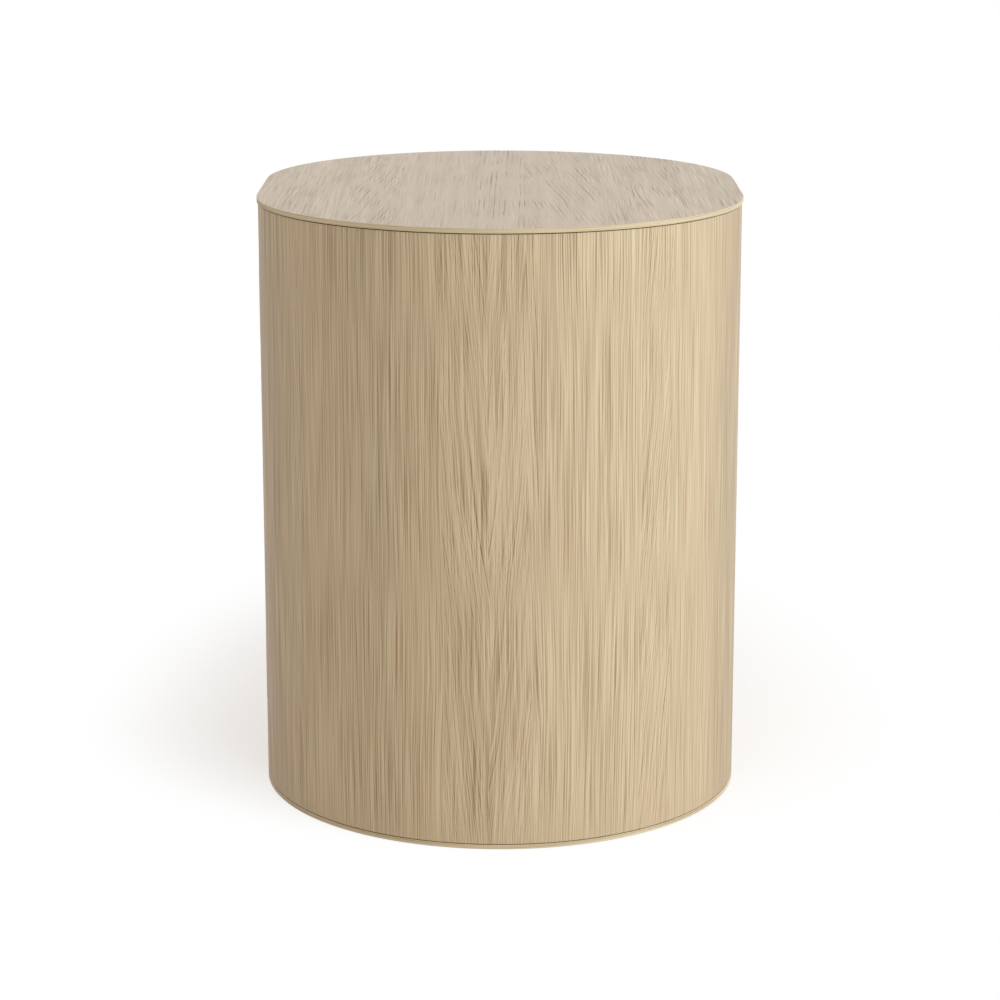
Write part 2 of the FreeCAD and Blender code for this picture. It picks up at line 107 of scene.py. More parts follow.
@dataclass(frozen=True)
class Plan:
    """Sizes that several sub-assemblies share."""

    flank_half: float = 0.050
    cap_radius: float = 0.200
    wall_radius: float = 0.199
    wall_thickness: float = 0.012
    core_radius: float = 0.1869
    floor_clearance: float = 0.001
    base_cap_high: float = 0.0046
    floor_level: float = 0.0236
    ceiling_level: float = 0.4758
    top_cap_low: float = 0.4941
    height: float = 0.498
    wall_low: float = 0.0053
    wall_high: float = 0.4933
    seam_half: float = 0.001
    hinge_x: float = -0.1975
    hinge_levels: tuple[float, float] = (0.0936, 0.4058)
    middle_level: float = 0.2497
    peg_pitch: float = 0.032
    peg_hole_radius: float = 0.0025
    peg_hole_depth: float = 0.009
    rear_peg_angle: float = math.radians(60.0)
    post_inner_x: float = 0.159
    post_middle_x: float = 0.173
    post_middle_y: float = -0.0265
    post_back_y: float = -0.004
    stile_back_y: float = -0.081
    latch_level: float = 0.2657
    sheet_thickness: float = 0.0008
    hinge_screw_x: float = -0.1735
    hinge_screw_reach: float = 0.018
    strike_half: tuple[float, float] = (0.007, 0.012)
    strike_screw_reach: float = 0.008
    countersink: Profile = ((0.0032, -0.0002), (0.0030, 0.0), (0.00155, 0.0008), (0.00155, 0.002))

    @property
    def peg_levels(self) -> tuple[float, ...]:
        """Heights of the peg holes."""
        return tuple(self.middle_level + row * self.peg_pitch for row in (-1, 0, 1))

    @property
    def rear_end_y(self) -> float:
        """Front face of the rear wall's ends and of the posts."""
        return self.seam_y + self.seam_half

    @property
    def door_end_y(self) -> float:
        """Rear face of the door's ends and of its stiles."""
        return self.seam_y - self.seam_half

    @property
    def seam_y(self) -> float:
        """Place of the seams between door and rear wall."""
        return -self.flank_half

    @property
    def wall_inner(self) -> float:
        """Inner radius of the bent walls."""
        return self.wall_radius - self.wall_thickness


PLAN = Plan()


def is_level(a: Vector, b: Vector) -> bool:
    """Whether the edge between two points runs level."""
    return abs(a.z - b.z) < TOUCHING


def touches(value: float, *marks: float) -> bool:
    """Whether a number is one of several marks."""
    return min(abs(value - mark) for mark in marks) < TOUCHING


def clear_selection() -> None:
    """Leaves edit mode and deselects every object."""
    if bpy.context.object and bpy.context.object.mode != "OBJECT":
        bpy.ops.object.mode_set(mode="OBJECT")
    bpy.ops.object.select_all(action="DESELECT")


def make_active(obj: Piece) -> None:
    """Selects one object alone and makes it the active one.

    Args:
        obj: The object.
    """
    clear_selection()
    obj.select_set(True)
    bpy.context.view_layer.objects.active = obj


def rename(obj: Piece, name: str) -> Piece:
    """Names an object and its mesh, and returns it."""
    obj.name = obj.data.name = name
    return obj


def named(name: str) -> Piece:
    """Names the object that was just added and applies its place and turn to its mesh."""
    bpy.ops.object.transform_apply(location=True, rotation=True, scale=True)
    return rename(bpy.context.object, name)


@contextmanager
def editing(obj: Piece) -> Iterator[None]:
    """Opens an object in edit mode with nothing selected, and closes it again.

    Args:
        obj: The object.
    """
    make_active(obj)
    bpy.ops.object.mode_set(mode="EDIT")
    bpy.ops.mesh.select_all(action="DESELECT")
    yield
    bpy.ops.object.mode_set(mode="OBJECT")


def pick(obj: Piece, element: Element, test: Test) -> None:
    """Selects the points, edges or faces that pass a test. Needs edit mode.

    Args:
        obj: The object in edit mode.
        element: What to select.
        test: Says whether a point counts, an edge by its two ends, or a face by its middle.
    """
    bpy.ops.mesh.select_mode(type=element.value)
    bpy.ops.mesh.select_all(action="DESELECT")
    mesh = bmesh.from_edit_mesh(obj.data)
    if element is Element.POINTS:
        parts = ((point, (point.co,)) for point in mesh.verts)
    elif element is Element.EDGES:
        parts = ((edge, [end.co for end in edge.verts]) for edge in mesh.edges)
    else:
        parts = ((face, (face.calc_center_median(),)) for face in mesh.faces)
    for part, spots in parts:
        part.select = test(*spots)
    mesh.select_flush_mode()
    bmesh.update_edit_mesh(obj.data)


def ease_edges(obj: Piece, width: float, segments: int, test: Test, clamp: bool = False) -> None:
    """Rounds the edges that pass a test. Needs edit mode.

    Args:
        obj: The object in edit mode.
        width: The width of the rounding.
        segments: How many facets it has.
        test: Says whether an edge counts, by its two ends.
        clamp: Whether the rounding is held back where edges come close.
    """
    pick(obj, Element.EDGES, test)
    bpy.ops.mesh.bevel(offset=width, segments=segments, affect="EDGES", clamp_overlap=clamp)


def score(axis: str, *places: float) -> None:
    """Draws a line of points round the mesh where planes cross it. Needs edit mode.

    Args:
        axis: The letter of the axis that the planes stand across.
        places: Where they cross it.
    """
    way = [float(letter == axis) for letter in "XYZ"]
    for place in places:
        bpy.ops.mesh.select_all(action="SELECT")
        bpy.ops.mesh.bisect(plane_co=[place * part for part in way], plane_no=way)


def align_faces() -> None:
    """Turns all faces of a closed mesh outwards. Needs edit mode."""
    bpy.ops.mesh.select_all(action="SELECT")
    bpy.ops.mesh.normals_make_consistent(inside=False)


def apply_modifier(obj: Piece, kind: str, **settings: object) -> None:
    """Adds a modifier with its settings and applies it.

    Args:
        obj: The object to change.
        kind: Blender's name of the modifier's type.
        settings: The modifier's values.
    """
    make_active(obj)
    modifier = obj.modifiers.new(kind.title(), kind)
    for key, value in settings.items():
        setattr(modifier, key, value)
    bpy.ops.object.modifier_apply(modifier=modifier.name)


def join(objects: Sequence[Piece], name: str) -> Piece:
    """Joins several objects into one.

    Args:
        objects: The objects to join.
        name: The name of the result.

    Returns:
        The joined object.
    """
    make_active(objects[0])
    for obj in objects[1:]:
        obj.select_set(True)
    if len(objects) > 1:
        bpy.ops.object.join()
    return rename(bpy.context.object, name)


def carve(obj: Piece, cutters: Sequence[Piece], operation: str = "DIFFERENCE") -> None:
    """Cuts, joins or trims an object with other ones, which are used up.

    Args:
        obj: The object to change.
        cutters: The objects that cut.
        operation: Difference, union or intersect, in capitals.
    """
    cutter = join(cutters, "cutter")
    apply_modifier(obj, "BOOLEAN", object=cutter, operation=operation, solver="EXACT")
    bpy.data.objects.remove(cutter, do_unlink=True)


def smooth(obj: Piece) -> None:
    """Shades round faces smooth, keeps the corners sharp and the flat faces flat.

    Args:
        obj: The object to shade.
    """
    make_active(obj)
    bpy.ops.object.shade_smooth_by_angle(angle=SMOOTH_ANGLE)
    apply_modifier(obj, "WEIGHTED_NORMAL", keep_sharp=True, weight=100)


def block(name: str, corner: Triple, opposite: Triple, ease: float = 0.0) -> Piece:
    """Makes a block between two opposite corners.

    Args:
        name: The piece's name.
        corner: One corner.
        opposite: The corner across the block.
        ease: The width of its edges' rounding, or 0 for sharp edges.

    Returns:
        The block.
    """
    clear_selection()
    middle = [(a + b) / 2 for a, b in zip(corner, opposite)]
    size = [abs(b - a) for a, b in zip(corner, opposite)]
    bpy.ops.mesh.primitive_cube_add(size=1.0, location=middle, scale=size)
    obj = named(name)
    if ease > 0:
        apply_modifier(obj, "BEVEL", width=ease, segments=3, limit_method="ANGLE",
                       angle_limit=SMOOTH_ANGLE, use_clamp_overlap=True)
        smooth(obj)
    return obj


def rod(radius: float, base: Triple, axis: str, length: float,
        steps: int = SMALL_STEPS) -> Piece:
    """Makes a round rod along one of the three axes.

    Args:
        radius: Its radius.
        base: The middle of its end.
        axis: The letter of the axis that it runs along.
        length: How far it runs, which may be negative.
        steps: How many sides the round has.

    Returns:
        The rod.
    """
    clear_selection()
    turn = {"X": (0.0, math.pi / 2, 0.0), "Y": (-math.pi / 2, 0.0, 0.0), "Z": (0.0, 0.0, 0.0)}
    place = list(base)
    place["XYZ".index(axis)] += length / 2
    bpy.ops.mesh.primitive_cylinder_add(vertices=steps, radius=radius, depth=abs(length),
                                        location=place, rotation=turn[axis])
    return named("rod")


def turned(name: str, profile: Sequence[tuple[float, float]], steps: int = SMALL_STEPS) -> Piece:
    """Makes a closed turned piece, drawn out ring by ring about the upright axis.

    Args:
        name: The piece's name.
        profile: The radius and height of each ring, from one closed end to the other.
        steps: How many sides the round has.

    Returns:
        The piece.
    """
    clear_selection()
    radius, level = profile[0]
    bpy.ops.mesh.primitive_circle_add(vertices=steps, radius=radius, fill_type="NGON",
                                      location=(0.0, 0.0, level))
    obj = named(name)
    with editing(obj):
        bpy.ops.mesh.select_all(action="SELECT")
        for next_radius, next_level in profile[1:]:
            bpy.ops.mesh.extrude_region_move(
                TRANSFORM_OT_translate={"value": (0.0, 0.0, next_level - level)})
            factor = next_radius / radius
            bpy.ops.transform.resize(value=(factor, factor, 1.0), center_override=(0.0, 0.0, 0.0))
            radius, level = next_radius, next_level
        align_faces()
    smooth(obj)
    return obj


def aim(obj: Piece, base: Triple, way: Triple) -> Piece:
    """Turns a piece that stands on the origin to another way and moves it to its base.

    Args:
        obj: The piece.
        base: Where its origin goes.
        way: Where its upright axis goes.

    Returns:
        The piece, with its place in its mesh.
    """
    make_active(obj)
    obj.rotation_mode = "QUATERNION"
    obj.rotation_quaternion = Vector(way).to_track_quat("Z", "Y")
    obj.location = base
    bpy.ops.object.transform_apply(location=True, rotation=True, scale=True)
    obj.rotation_mode = "XYZ"
    return obj


def spread(first: Piece, seats: Iterable[tuple[Triple, Triple]]) -> list[Piece]:
    """Copies a piece that stands on the origin to several places and uses it up.

    Args:
        first: The piece.
        seats: The base of each copy and where its upright axis goes.

    Returns:
        The copies, each with its own mesh.
    """
    copies = []
    for base, way in seats:
        make_active(first)
        bpy.ops.object.duplicate()
        copies.append(aim(bpy.context.object, base, way))
    bpy.data.objects.remove(first, do_unlink=True)
    return copies


def stretch_flanks(obj: Piece) -> None:
    """Draws a round plan apart into the table's obround plan. Needs edit mode.

    Args:
        obj: The object in edit mode.
    """
    for side in SIDES:
        pick(obj, Element.POINTS, lambda point: point.y * side > 0)
        bpy.ops.transform.translate(value=(0.0, side * PLAN.flank_half, 0.0))


def obround_board(name: str, radius: float, low: float, high: float) -> Piece:
    """Makes a plain board on the table's plan.

    Args:
        name: The piece's name.
        radius: The radius of its two round ends.
        low: The height of its lower face.
        high: The height of its upper face.

    Returns:
        The board.
    """
    clear_selection()
    bpy.ops.mesh.primitive_cylinder_add(
        vertices=ROUND_STEPS, radius=radius, depth=high - low,
        location=(0.0, 0.0, (low + high) / 2), rotation=(0.0, 0.0, math.pi / ROUND_STEPS))
    obj = named(name)
    with editing(obj):
        stretch_flanks(obj)
    return obj


def neck(obj: Piece, shoulder_y: float, factor: float) -> None:
    """Narrows a board in front of a shoulder across it. Needs edit mode.

    Args:
        obj: The board in edit mode.
        shoulder_y: Where the shoulder stands.
        factor: The front's radius as a share of the rear's.
    """
    score("Y", shoulder_y, shoulder_y - NEAR)
    for front_y, value in ((shoulder_y, (factor, 1.0, 1.0)),
                           (MM - PLAN.flank_half, (1.0, factor, 1.0))):
        pick(obj, Element.POINTS, lambda point: point.y < front_y - NEAR / 2)
        bpy.ops.transform.resize(value=value, center_override=(0.0, -PLAN.flank_half, 0.0))


def ease_round_end(obj: Piece, width: float, side: float) -> None:
    """Rounds the edges of a board's round end.

    Args:
        obj: The board in edit mode.
        width: The width of the rounding.
        side: Which end, -1 in front or 1 behind.
    """
    ease_edges(obj, width, 2, lambda a, b: is_level(a, b)
               and min(a.y * side, b.y * side) > PLAN.flank_half)


def upright(name: str, side: float, reach_y: tuple[float, float],
            levels: tuple[float, float]) -> Piece:
    """Makes a square upright between the compartment and the inside of a wall.

    Args:
        name: The piece's name.
        side: Which flank it stands at, -1 on the left or 1 on the right.
        reach_y: Where its front and rear faces stand.
        levels: The heights of its ends.

    Returns:
        The upright.
    """
    return block(name, (side * PLAN.post_inner_x, reach_y[0], levels[0]),
                 (side * PLAN.wall_inner, reach_y[1], levels[1]))


def ease_inner_corners(obj: Piece, side: float, width: float) -> None:
    """Rounds the corners of an upright that face the compartment.

    Args:
        obj: The upright.
        side: Which flank it stands at, -1 or 1.
        width: The width of the rounding.
    """
    inner_x = side * PLAN.post_inner_x
    with editing(obj):
        ease_edges(obj, width, 3, lambda a, b: abs(a.z - b.z) > MM
                   and abs(a.x - inner_x) + abs(b.x - inner_x) < NEAR)


def keep_side(obj: Piece, y: float, front: bool, fill: bool = True) -> None:
    """Cuts an object along a plane across the table and keeps one side.

    Args:
        obj: The object to cut.
        y: Where the plane stands.
        front: Whether the part in front of it is kept.
        fill: Whether the cut is closed with a face.
    """
    with editing(obj):
        bpy.ops.mesh.select_all(action="SELECT")
        bpy.ops.mesh.bisect(plane_co=(0.0, y, 0.0), plane_no=BACK, use_fill=fill,
                            clear_outer=front, clear_inner=not front)
        if fill:
            align_faces()


def face_outwards(obj: Piece) -> None:
    """Turns an open bent skin's faces so that they point away from the table.

    Args:
        obj: The skin.
    """
    with editing(obj):
        align_faces()
    face = obj.data.polygons[0]
    outward = Vector((face.center.x, 0.0, 0.0))
    if abs(face.center.y) > PLAN.flank_half:
        outward.y = face.center.y - math.copysign(PLAN.flank_half, face.center.y)
    if face.normal.dot(outward) < 0:
        with editing(obj):
            bpy.ops.mesh.select_all(action="SELECT")
            bpy.ops.mesh.flip_normals()


def bent_strip(name: str, radius: float, thickness: float, levels: tuple[float, float],
               end_y: float) -> Piece:
    """Bends a strip round the front or the rear of the table's plan.

    Args:
        name: The piece's name.
        radius: Its outer radius.
        thickness: How thick it is, inwards.
        levels: The heights of its lower and upper edges.
        end_y: Where its two ends stand, before the seam for a front strip and behind it for a
            rear one.

    Returns:
        The strip, closed on every side.
    """
    clear_selection()
    bpy.ops.mesh.primitive_circle_add(vertices=ROUND_STEPS, radius=radius,
                                      location=(0.0, 0.0, levels[0]),
                                      rotation=(0.0, 0.0, math.pi / ROUND_STEPS))
    obj = named(name)
    with editing(obj):
        stretch_flanks(obj)
        bpy.ops.mesh.select_all(action="SELECT")
        bpy.ops.mesh.extrude_region_move(
            TRANSFORM_OT_translate={"value": (0.0, 0.0, levels[1] - levels[0])})
        score("X", 0.0)
    keep_side(obj, end_y, end_y < PLAN.seam_y, fill=False)
    face_outwards(obj)
    apply_modifier(obj, "SOLIDIFY", thickness=thickness, offset=-1.0, use_even_offset=True,
                   use_rim=True)
    return obj


def wall_way(point: Vector, radius: float) -> float:
    """Measures the way along the bent wall from the middle of the front, as if it were unrolled.

    Args:
        point: A point on or in the wall.
        radius: The radius that the way is measured on.

    Returns:
        The way in metres, positive on the right and negative on the left.
    """
    side = 1.0 if point.x >= 0 else -1.0
    quarter = radius * math.pi / 2
    if point.y < -PLAN.flank_half:
        return radius * math.atan2(point.x, -(point.y + PLAN.flank_half))
    if point.y <= PLAN.flank_half:
        return side * (quarter + point.y + PLAN.flank_half)
    past = math.atan2(point.y - PLAN.flank_half, abs(point.x))
    return side * (quarter + 2 * PLAN.flank_half + radius * past)


def wall_depth(point: Vector, radius: float) -> float:
    """Measures how deep a point lies under the outside of a bent wall of that radius."""
    beyond = max(abs(point.y) - PLAN.flank_half, 0.0)
    return radius - math.hypot(point.x, beyond)


def lay_grain(obj: Piece, spot: Callable[[Face, Vector], tuple[float, float]]) -> None:
    """Lays the grain's map on a piece.

    Args:
        obj: The piece.
        spot: Gives the place across and along the grain of a point of a face.
    """
    mesh = obj.data
    layer = mesh.uv_layers.new(name="grain")
    for face in mesh.polygons:
        for loop in face.loop_indices:
            point = mesh.vertices[mesh.loops[loop].vertex_index].co
            layer.data[loop].uv = spot(face, point.copy())


def on_wall(face: Face, point: Vector) -> tuple[float, float]:
    """Places a wall's grain: across is the way round and through, along is the height.

    Args:
        face: The face that the point belongs to, which says on which side of the rear it lies.
        point: The point.

    Returns:
        Its place across and along the grain.
    """
    if point.y > PLAN.flank_half and abs(point.x) < MM / 10:
        point.x = math.copysign(MM / 10, face.center.x)
    way = wall_way(point, PLAN.wall_radius)
    return way + math.copysign(wall_depth(point, PLAN.wall_radius), way), point.z


def on_board(face: Face, point: Vector, radius: float) -> tuple[float, float]:
    """Places a board's grain: front to back on its faces, and along its rim.

    Args:
        face: The face that the point belongs to.
        point: The point.
        radius: The radius of the board's round ends.

    Returns:
        Its place across and along the grain.
    """
    if abs(face.normal.z) > FLAT_SHARE:
        return point.x, point.y
    return point.z, wall_way(point, radius)


class NodeBench:
    """Adds and links the nodes of one material or of the world."""

    def __init__(self, name: str = "", tree: bpy.types.NodeTree | None = None) -> None:
        """Starts an empty material with a principled shader, or empties a given tree.

        Args:
            name: The material's name.
            tree: The tree to work on instead of a new material's.
        """
        if tree is not None:
            self.tree = tree
            self.tree.nodes.clear()
            return
        self.material = bpy.data.materials.new(name)
        self.material.use_nodes = True
        self.tree = self.material.node_tree
        self.tree.nodes.clear()
        self.shader = self.add("BsdfPrincipled")
        self.output = self.add("OutputMaterial", self.shader.outputs[0])

    def feed(self, socket: Socket, value: Value) -> None:
        """Links a socket into another one, or sets its value.

        Args:
            socket: The socket to feed.
            value: The other socket, or the value.
        """
        if isinstance(value, bpy.types.NodeSocket):
            self.tree.links.new(value, socket)
        else:
            socket.default_value = value

    def add(self, kind: str, *values: Value, **others: Value) -> bpy.types.Node:
        """Adds a node and feeds its sockets.

        Args:
            kind: Blender's name of the node, without ShaderNode.
            values: What its first sockets get.
            others: What other sockets get, by their names.

        Returns:
            The node.
        """
        node = self.tree.nodes.new("ShaderNode" + kind)
        for socket, value in zip(node.inputs, values):
            self.feed(socket, value)
        for key, value in others.items():
            self.feed(node.inputs[key], value)
        return node

    def math(self, operation: str, *values: Value, clamp: bool = False) -> Socket:
        """Works out one operation on numbers.

        Args:
            operation: Blender's name of the operation.
            values: The numbers or sockets to work on.
            clamp: Whether the result is held between 0 and 1.

        Returns:
            The result's socket.
        """
        node = self.add("Math", *values)
        node.operation = operation
        node.use_clamp = clamp
        return node.outputs[0]

    def scaled(self, value: Value, factor: Value, offset: Value = 0.0) -> Socket:
        """Multiplies a number and adds another one to it."""
        return self.math("MULTIPLY_ADD", value, factor, offset)

    def swung(self, noise: Socket, reach: Value, base: Value = 0.0) -> Socket:
        """Lets a number swing to both sides with a noise, by half of a reach."""
        return self.scaled(self.math("ADD", noise, -0.5), reach, base)

    def blended(self, first: Socket, second: Socket, shares: tuple[float, float],
                offset: float = 0.0) -> Socket:
        """Adds up two numbers by their shares, plus an offset, held between 0 and 1."""
        rest = self.scaled(second, shares[1], offset)
        return self.math("MULTIPLY_ADD", first, shares[0], rest, clamp=True)

    def vector(self, parts: Iterable[Value], factors: Triple) -> Socket:
        """Puts three numbers together into a vector, each one multiplied by its factor."""
        return self.add("CombineXYZ", *map(self.scaled, parts, factors)).outputs[0]

    def in_millimetres(self, vector: Socket) -> list[Socket]:
        """Takes a vector of metres apart into its numbers in millimetres."""
        parts = self.add("SeparateXYZ", vector).outputs
        return [self.scaled(part, 1 / MM) for part in parts]

    def grain_map(self) -> tuple[Socket, Socket]:
        """Reads the piece's own map.

        Returns:
            The sockets of the millimetres across and along the grain.
        """
        node = self.add("UVMap")
        node.uv_map = "grain"
        across, along, _ = self.in_millimetres(node.outputs[0])
        return across, along

    def place(self) -> list[Socket]:
        """Reads the place on the piece in millimetres, as x, y and z."""
        return self.in_millimetres(self.add("TexCoord").outputs["Object"])

    def noise(self, parts: Iterable[Value], fineness: Triple, detail: float = 2.0,
              roughness: float = 0.5) -> Socket:
        """Reads smooth noise.

        Args:
            parts: Where to read it, as three numbers.
            fineness: How often it changes along each of the three.
            detail: How many finer layers it has.
            roughness: How strong the finer layers are.

        Returns:
            The socket of a number round 0.5.
        """
        spot = self.vector(parts, fineness)
        return self.add("TexNoise", Vector=spot, Scale=1.0, Detail=detail,
                        Roughness=roughness).outputs[0]

    def steps(self, value: Value, low: float, high: float, to_low: float = 0.0,
              to_high: float = 1.0) -> Socket:
        """Maps a range of numbers smoothly to another range.

        Args:
            value: The number to map.
            low: Where the range starts.
            high: Where the range ends.
            to_low: The result at its start.
            to_high: The result at its end.

        Returns:
            The result's socket.
        """
        node = self.add("MapRange", value, low, high, to_low, to_high)
        node.interpolation_type = "SMOOTHSTEP"
        return node.outputs[0]

    def ramp(self, value: Value, stops: Profile) -> Socket:
        """Maps a number through a curve of grey stops.

        Args:
            value: The number to map.
            stops: Places and results, in order.

        Returns:
            The result's socket.
        """
        node = self.add("ValToRGB", value)
        marks = node.color_ramp.elements
        while len(marks) < len(stops):
            marks.new(1.0)
        for mark, (place, result) in zip(marks, stops):
            mark.position = place
            mark.color = grey(result)
        return node.outputs[0]

    def mix(self, share: Value, first: Value, second: Value) -> Socket:
        """Mixes two colours.

        Args:
            share: How much of the second one is taken.
            first: The first colour.
            second: The second colour.

        Returns:
            The mixed colour's socket.
        """
        node = self.add("Mix", share)
        node.data_type = "RGBA"
        self.feed(node.inputs[6], first)
        self.feed(node.inputs[7], second)
        return node.outputs[2]

    def bump(self, height: Socket, strength: float, distance: float) -> None:
        """Gives the shader a fine relief.

        Args:
            height: The relief's height, from 0 to 1.
            strength: How strongly it shows.
            distance: How deep it is.
        """
        node = self.add("Bump", Strength=strength, Distance=distance, Height=height)
        self.feed(self.shader.inputs["Normal"], node.outputs[0])

    def surface(self, base: Value, roughness: Value, **settings: float) -> Material:
        """Finishes the shader.

        Args:
            base: The base colour.
            roughness: The roughness.
            settings: Other inputs of the shader, with underscores for spaces.

        Returns:
            The material.
        """
        self.feed(self.shader.inputs["Base Color"], base)
        self.feed(self.shader.inputs["Roughness"], roughness)
        for key, value in settings.items():
            title = key.replace("_", " ").title().replace("Ior", "IOR")
            self.feed(self.shader.inputs[title], value)
        return self.material


def grey(level: float) -> Colour:
    """Gives the grey of a level from 0 to 1 in the shader's own numbers."""
    return (level, level, level, 1.0)


def colour(red: float, green: float, blue: float) -> Colour:
    """Turns a colour as it looks on a screen into the shader's numbers.

    Args:
        red: Its red part, from 0 to 255.
        green: Its green part.
        blue: Its blue part.

    Returns:
        The colour for a shader.
    """
    def lit(value: float) -> float:
        """Turns one part of the colour."""
        share = value / 255.0
        return share / 12.92 if share <= 0.04045 else ((share + 0.055) / 1.055) ** 2.4
    return (lit(red), lit(green), lit(blue), 1.0)


@dataclass(frozen=True)
class Lean:
    """A strip of a veneer sheet whose year lines run aslant, in millimetres across the sheet.

    The lines step right by the share slope of the way up. Two strips that lean apart meet in the
    point of a flame.
    """

    start: float
    end: float
    slope: float


@dataclass(frozen=True)
class Streaks:
    """One kind of streak in veneer: noise drawn out along the grain, in millimetres.

    Where a span is given, the noise grows from nothing to full within it, so that only its high
    places show.
    """

    width: float
    length: float
    seed: float
    detail: float = 1.0
    stretched: bool = False
    span: tuple[float, float] | None = None


@dataclass(frozen=True)
class OakFinish:
    """Lacquered oak veneer with its figure, pores and long bands of tone."""

    name: str
    warm: Colour
    cool: Colour
    dark: Colour
    leans: tuple[Lean, ...]
    stretch: float = 1.35
    ring_width: float = 2.6
    depth: float = 0.2
    line_depth: float = 0.26
    fine_depth: float = 0.12
    thread_depth: float = 1.3
    hair_depth: float = 2.4
    pore_depth: float = 0.2
    band_depth: float = 0.16
    calm_low: float = 0.5
    # Painted shade: darkens the veneer towards the flanks and the rear of the round wall, where less
    # light falls on it.
    painted_flank_shade: float = 0.0
    painted_flank_shade_span: tuple[float, float] = (180.0, 245.0)
    edge_share: float = 1.0
    edge_span: tuple[float, float] = (90.0, 170.0)
    wander: float = 1.0
    roughness: float = 0.4
    shade_roughness: float = 0.15
    gloss: float = 0.08
    relief: float = 0.15
    pore_reach: float = 0.25 * MM
    seed: float = 0.0
    warps: tuple[tuple[Streaks, float], ...] = (
        (Streaks(60.0, 380.0, 12.0), 12.0), (Streaks(14.0, 110.0, 3.0), 3.0),
        (Streaks(4.0, 40.0, 0.8), 0.8))
    bends: Streaks = Streaks(70.0, 120.0, 8.0)
    bend_reach: float = 60.0
    calms: Streaks = Streaks(20.0, 100.0, 1.0, stretched=True, span=(0.38, 0.58))
    fades: Streaks = Streaks(3.0, 70.0, 9.0, 2.0, stretched=True, span=(0.38, 0.58))
    fade_low: float = 0.15
    year_span: tuple[float, float] = (0.32, 0.62)
    year_low: float = 0.1
    flame_shares: tuple[float, float] = (1.1, 0.65)
    fines: Streaks = Streaks(1.0, 90.0, 4.0, 2.0, stretched=True, span=(0.47, 0.62))
    threads: Streaks = Streaks(0.85, 150.0, 3.0, stretched=True)
    hairs: Streaks = Streaks(0.55, 80.0, 5.0, stretched=True)
    hair_shares: tuple[float, float] = (0.7, 0.3)
    dashes: Streaks = Streaks(0.9, 8.0, 2.0, 2.0, span=(0.58, 0.66))
    dash_shares: tuple[float, float] = (0.8, 0.2)
    bands: Streaks = Streaks(9.0, 380.0, 6.0, 2.0)
    sheets: Streaks = Streaks(40.0, 600.0, 7.0)
    tone_shares: tuple[float, float] = (0.6, 0.4)
    tone_span: tuple[float, float] = (0.38, 0.62)
    line_curve: Profile = ((0.0, 0.35), (0.05, 1.0), (0.14, 0.85), (0.26, 0.2), (0.5, 0.0),
                           (0.93, 0.0), (1.0, 0.35))
    zone_curve: Profile = ((0.0, 0.8), (0.1, 1.0), (0.5, 0.6), (0.9, 0.25), (1.0, 0.8))

    def draw(self, bench: NodeBench, across: Value, along: Value, kind: Streaks,
             least: float = 0.0) -> Socket:
        """Draws one kind of streak with this sheet's seed and stretch.

        Args:
            bench: The material being made.
            across: Millimetres across the grain.
            along: Millimetres along the grain.
            kind: The kind of streak.
            least: What is left between the streaks of a kind with a span.

        Returns:
            The socket of a number round 0.5, or up to 1 for a kind with a span.
        """
        length = kind.length * (self.stretch if kind.stretched else 1.0)
        noise = bench.noise((across, along, self.seed + kind.seed),
                            (1 / kind.width, 1 / length, 1.0), kind.detail)
        return bench.steps(noise, *kind.span, least) if kind.span else noise

    def flow(self, bench: NodeBench, across: Value, along: Value) -> tuple[Socket, Socket, Value]:
        """Follows the year lines across the sheet.

        Args:
            bench: The material being made.
            across: Millimetres across the grain.
            along: Millimetres along the grain.

        Returns:
            The sockets of the way across the lines, which is the same all along one line, of the
            way across the fibres, which run straighter, and of 1 in a flame and 0 outside.
        """
        warped = across
        for kind, reach in self.warps:
            wave = self.draw(bench, across, along, kind)
            warped = bench.swung(wave, reach * self.wander, warped)
        climb = bench.swung(self.draw(bench, across, along, self.bends), self.bend_reach, along)
        total = warped
        flame = 0.0
        for lean in self.leans:
            inside = bench.scaled(bench.math("GREATER_THAN", warped, lean.start),
                                  bench.math("LESS_THAN", warped, lean.end))
            total = bench.scaled(bench.scaled(inside, climb), -lean.slope, total)
            flame = bench.math("ADD", flame, inside)
        return total, warped, flame

    def year_lines(self, bench: NodeBench, flow: Socket, along: Value) -> tuple[Socket, Socket]:
        """Draws each year's early wood, some years strong and some faint.

        Args:
            bench: The material being made.
            flow: The way across the year lines.
            along: Millimetres along the grain.

        Returns:
            The sockets of one sharp line a year and of the broad zone behind it.
        """
        rings = bench.scaled(flow, 1 / self.ring_width)
        part = bench.math("FRACT", rings)
        year = bench.noise((bench.math("FLOOR", rings), self.seed, 3.3), (1.0, 1.0, 1.0), 0.0)
        strength = bench.scaled(bench.steps(year, *self.year_span, self.year_low),
                                self.draw(bench, flow, along, self.fades, self.fade_low))
        line = bench.scaled(bench.ramp(part, self.line_curve), strength)
        return line, bench.ramp(part, self.zone_curve)

    def tone(self, bench: NodeBench, across: Value, along: Value, band: Socket) -> Socket:
        """Mixes the warm and the cool ground of the veneer in long bands.

        Args:
            bench: The material being made.
            across: Millimetres across the grain.
            along: Millimetres along the grain.
            band: The noise of the narrow bands.

        Returns:
            The socket of the ground's colour.
        """
        band_share, sheet_share = self.tone_shares
        sheet = bench.scaled(self.draw(bench, across, along, self.sheets), sheet_share)
        share = bench.scaled(band, band_share, sheet)
        return bench.mix(bench.steps(share, *self.tone_span), self.warm, self.cool)

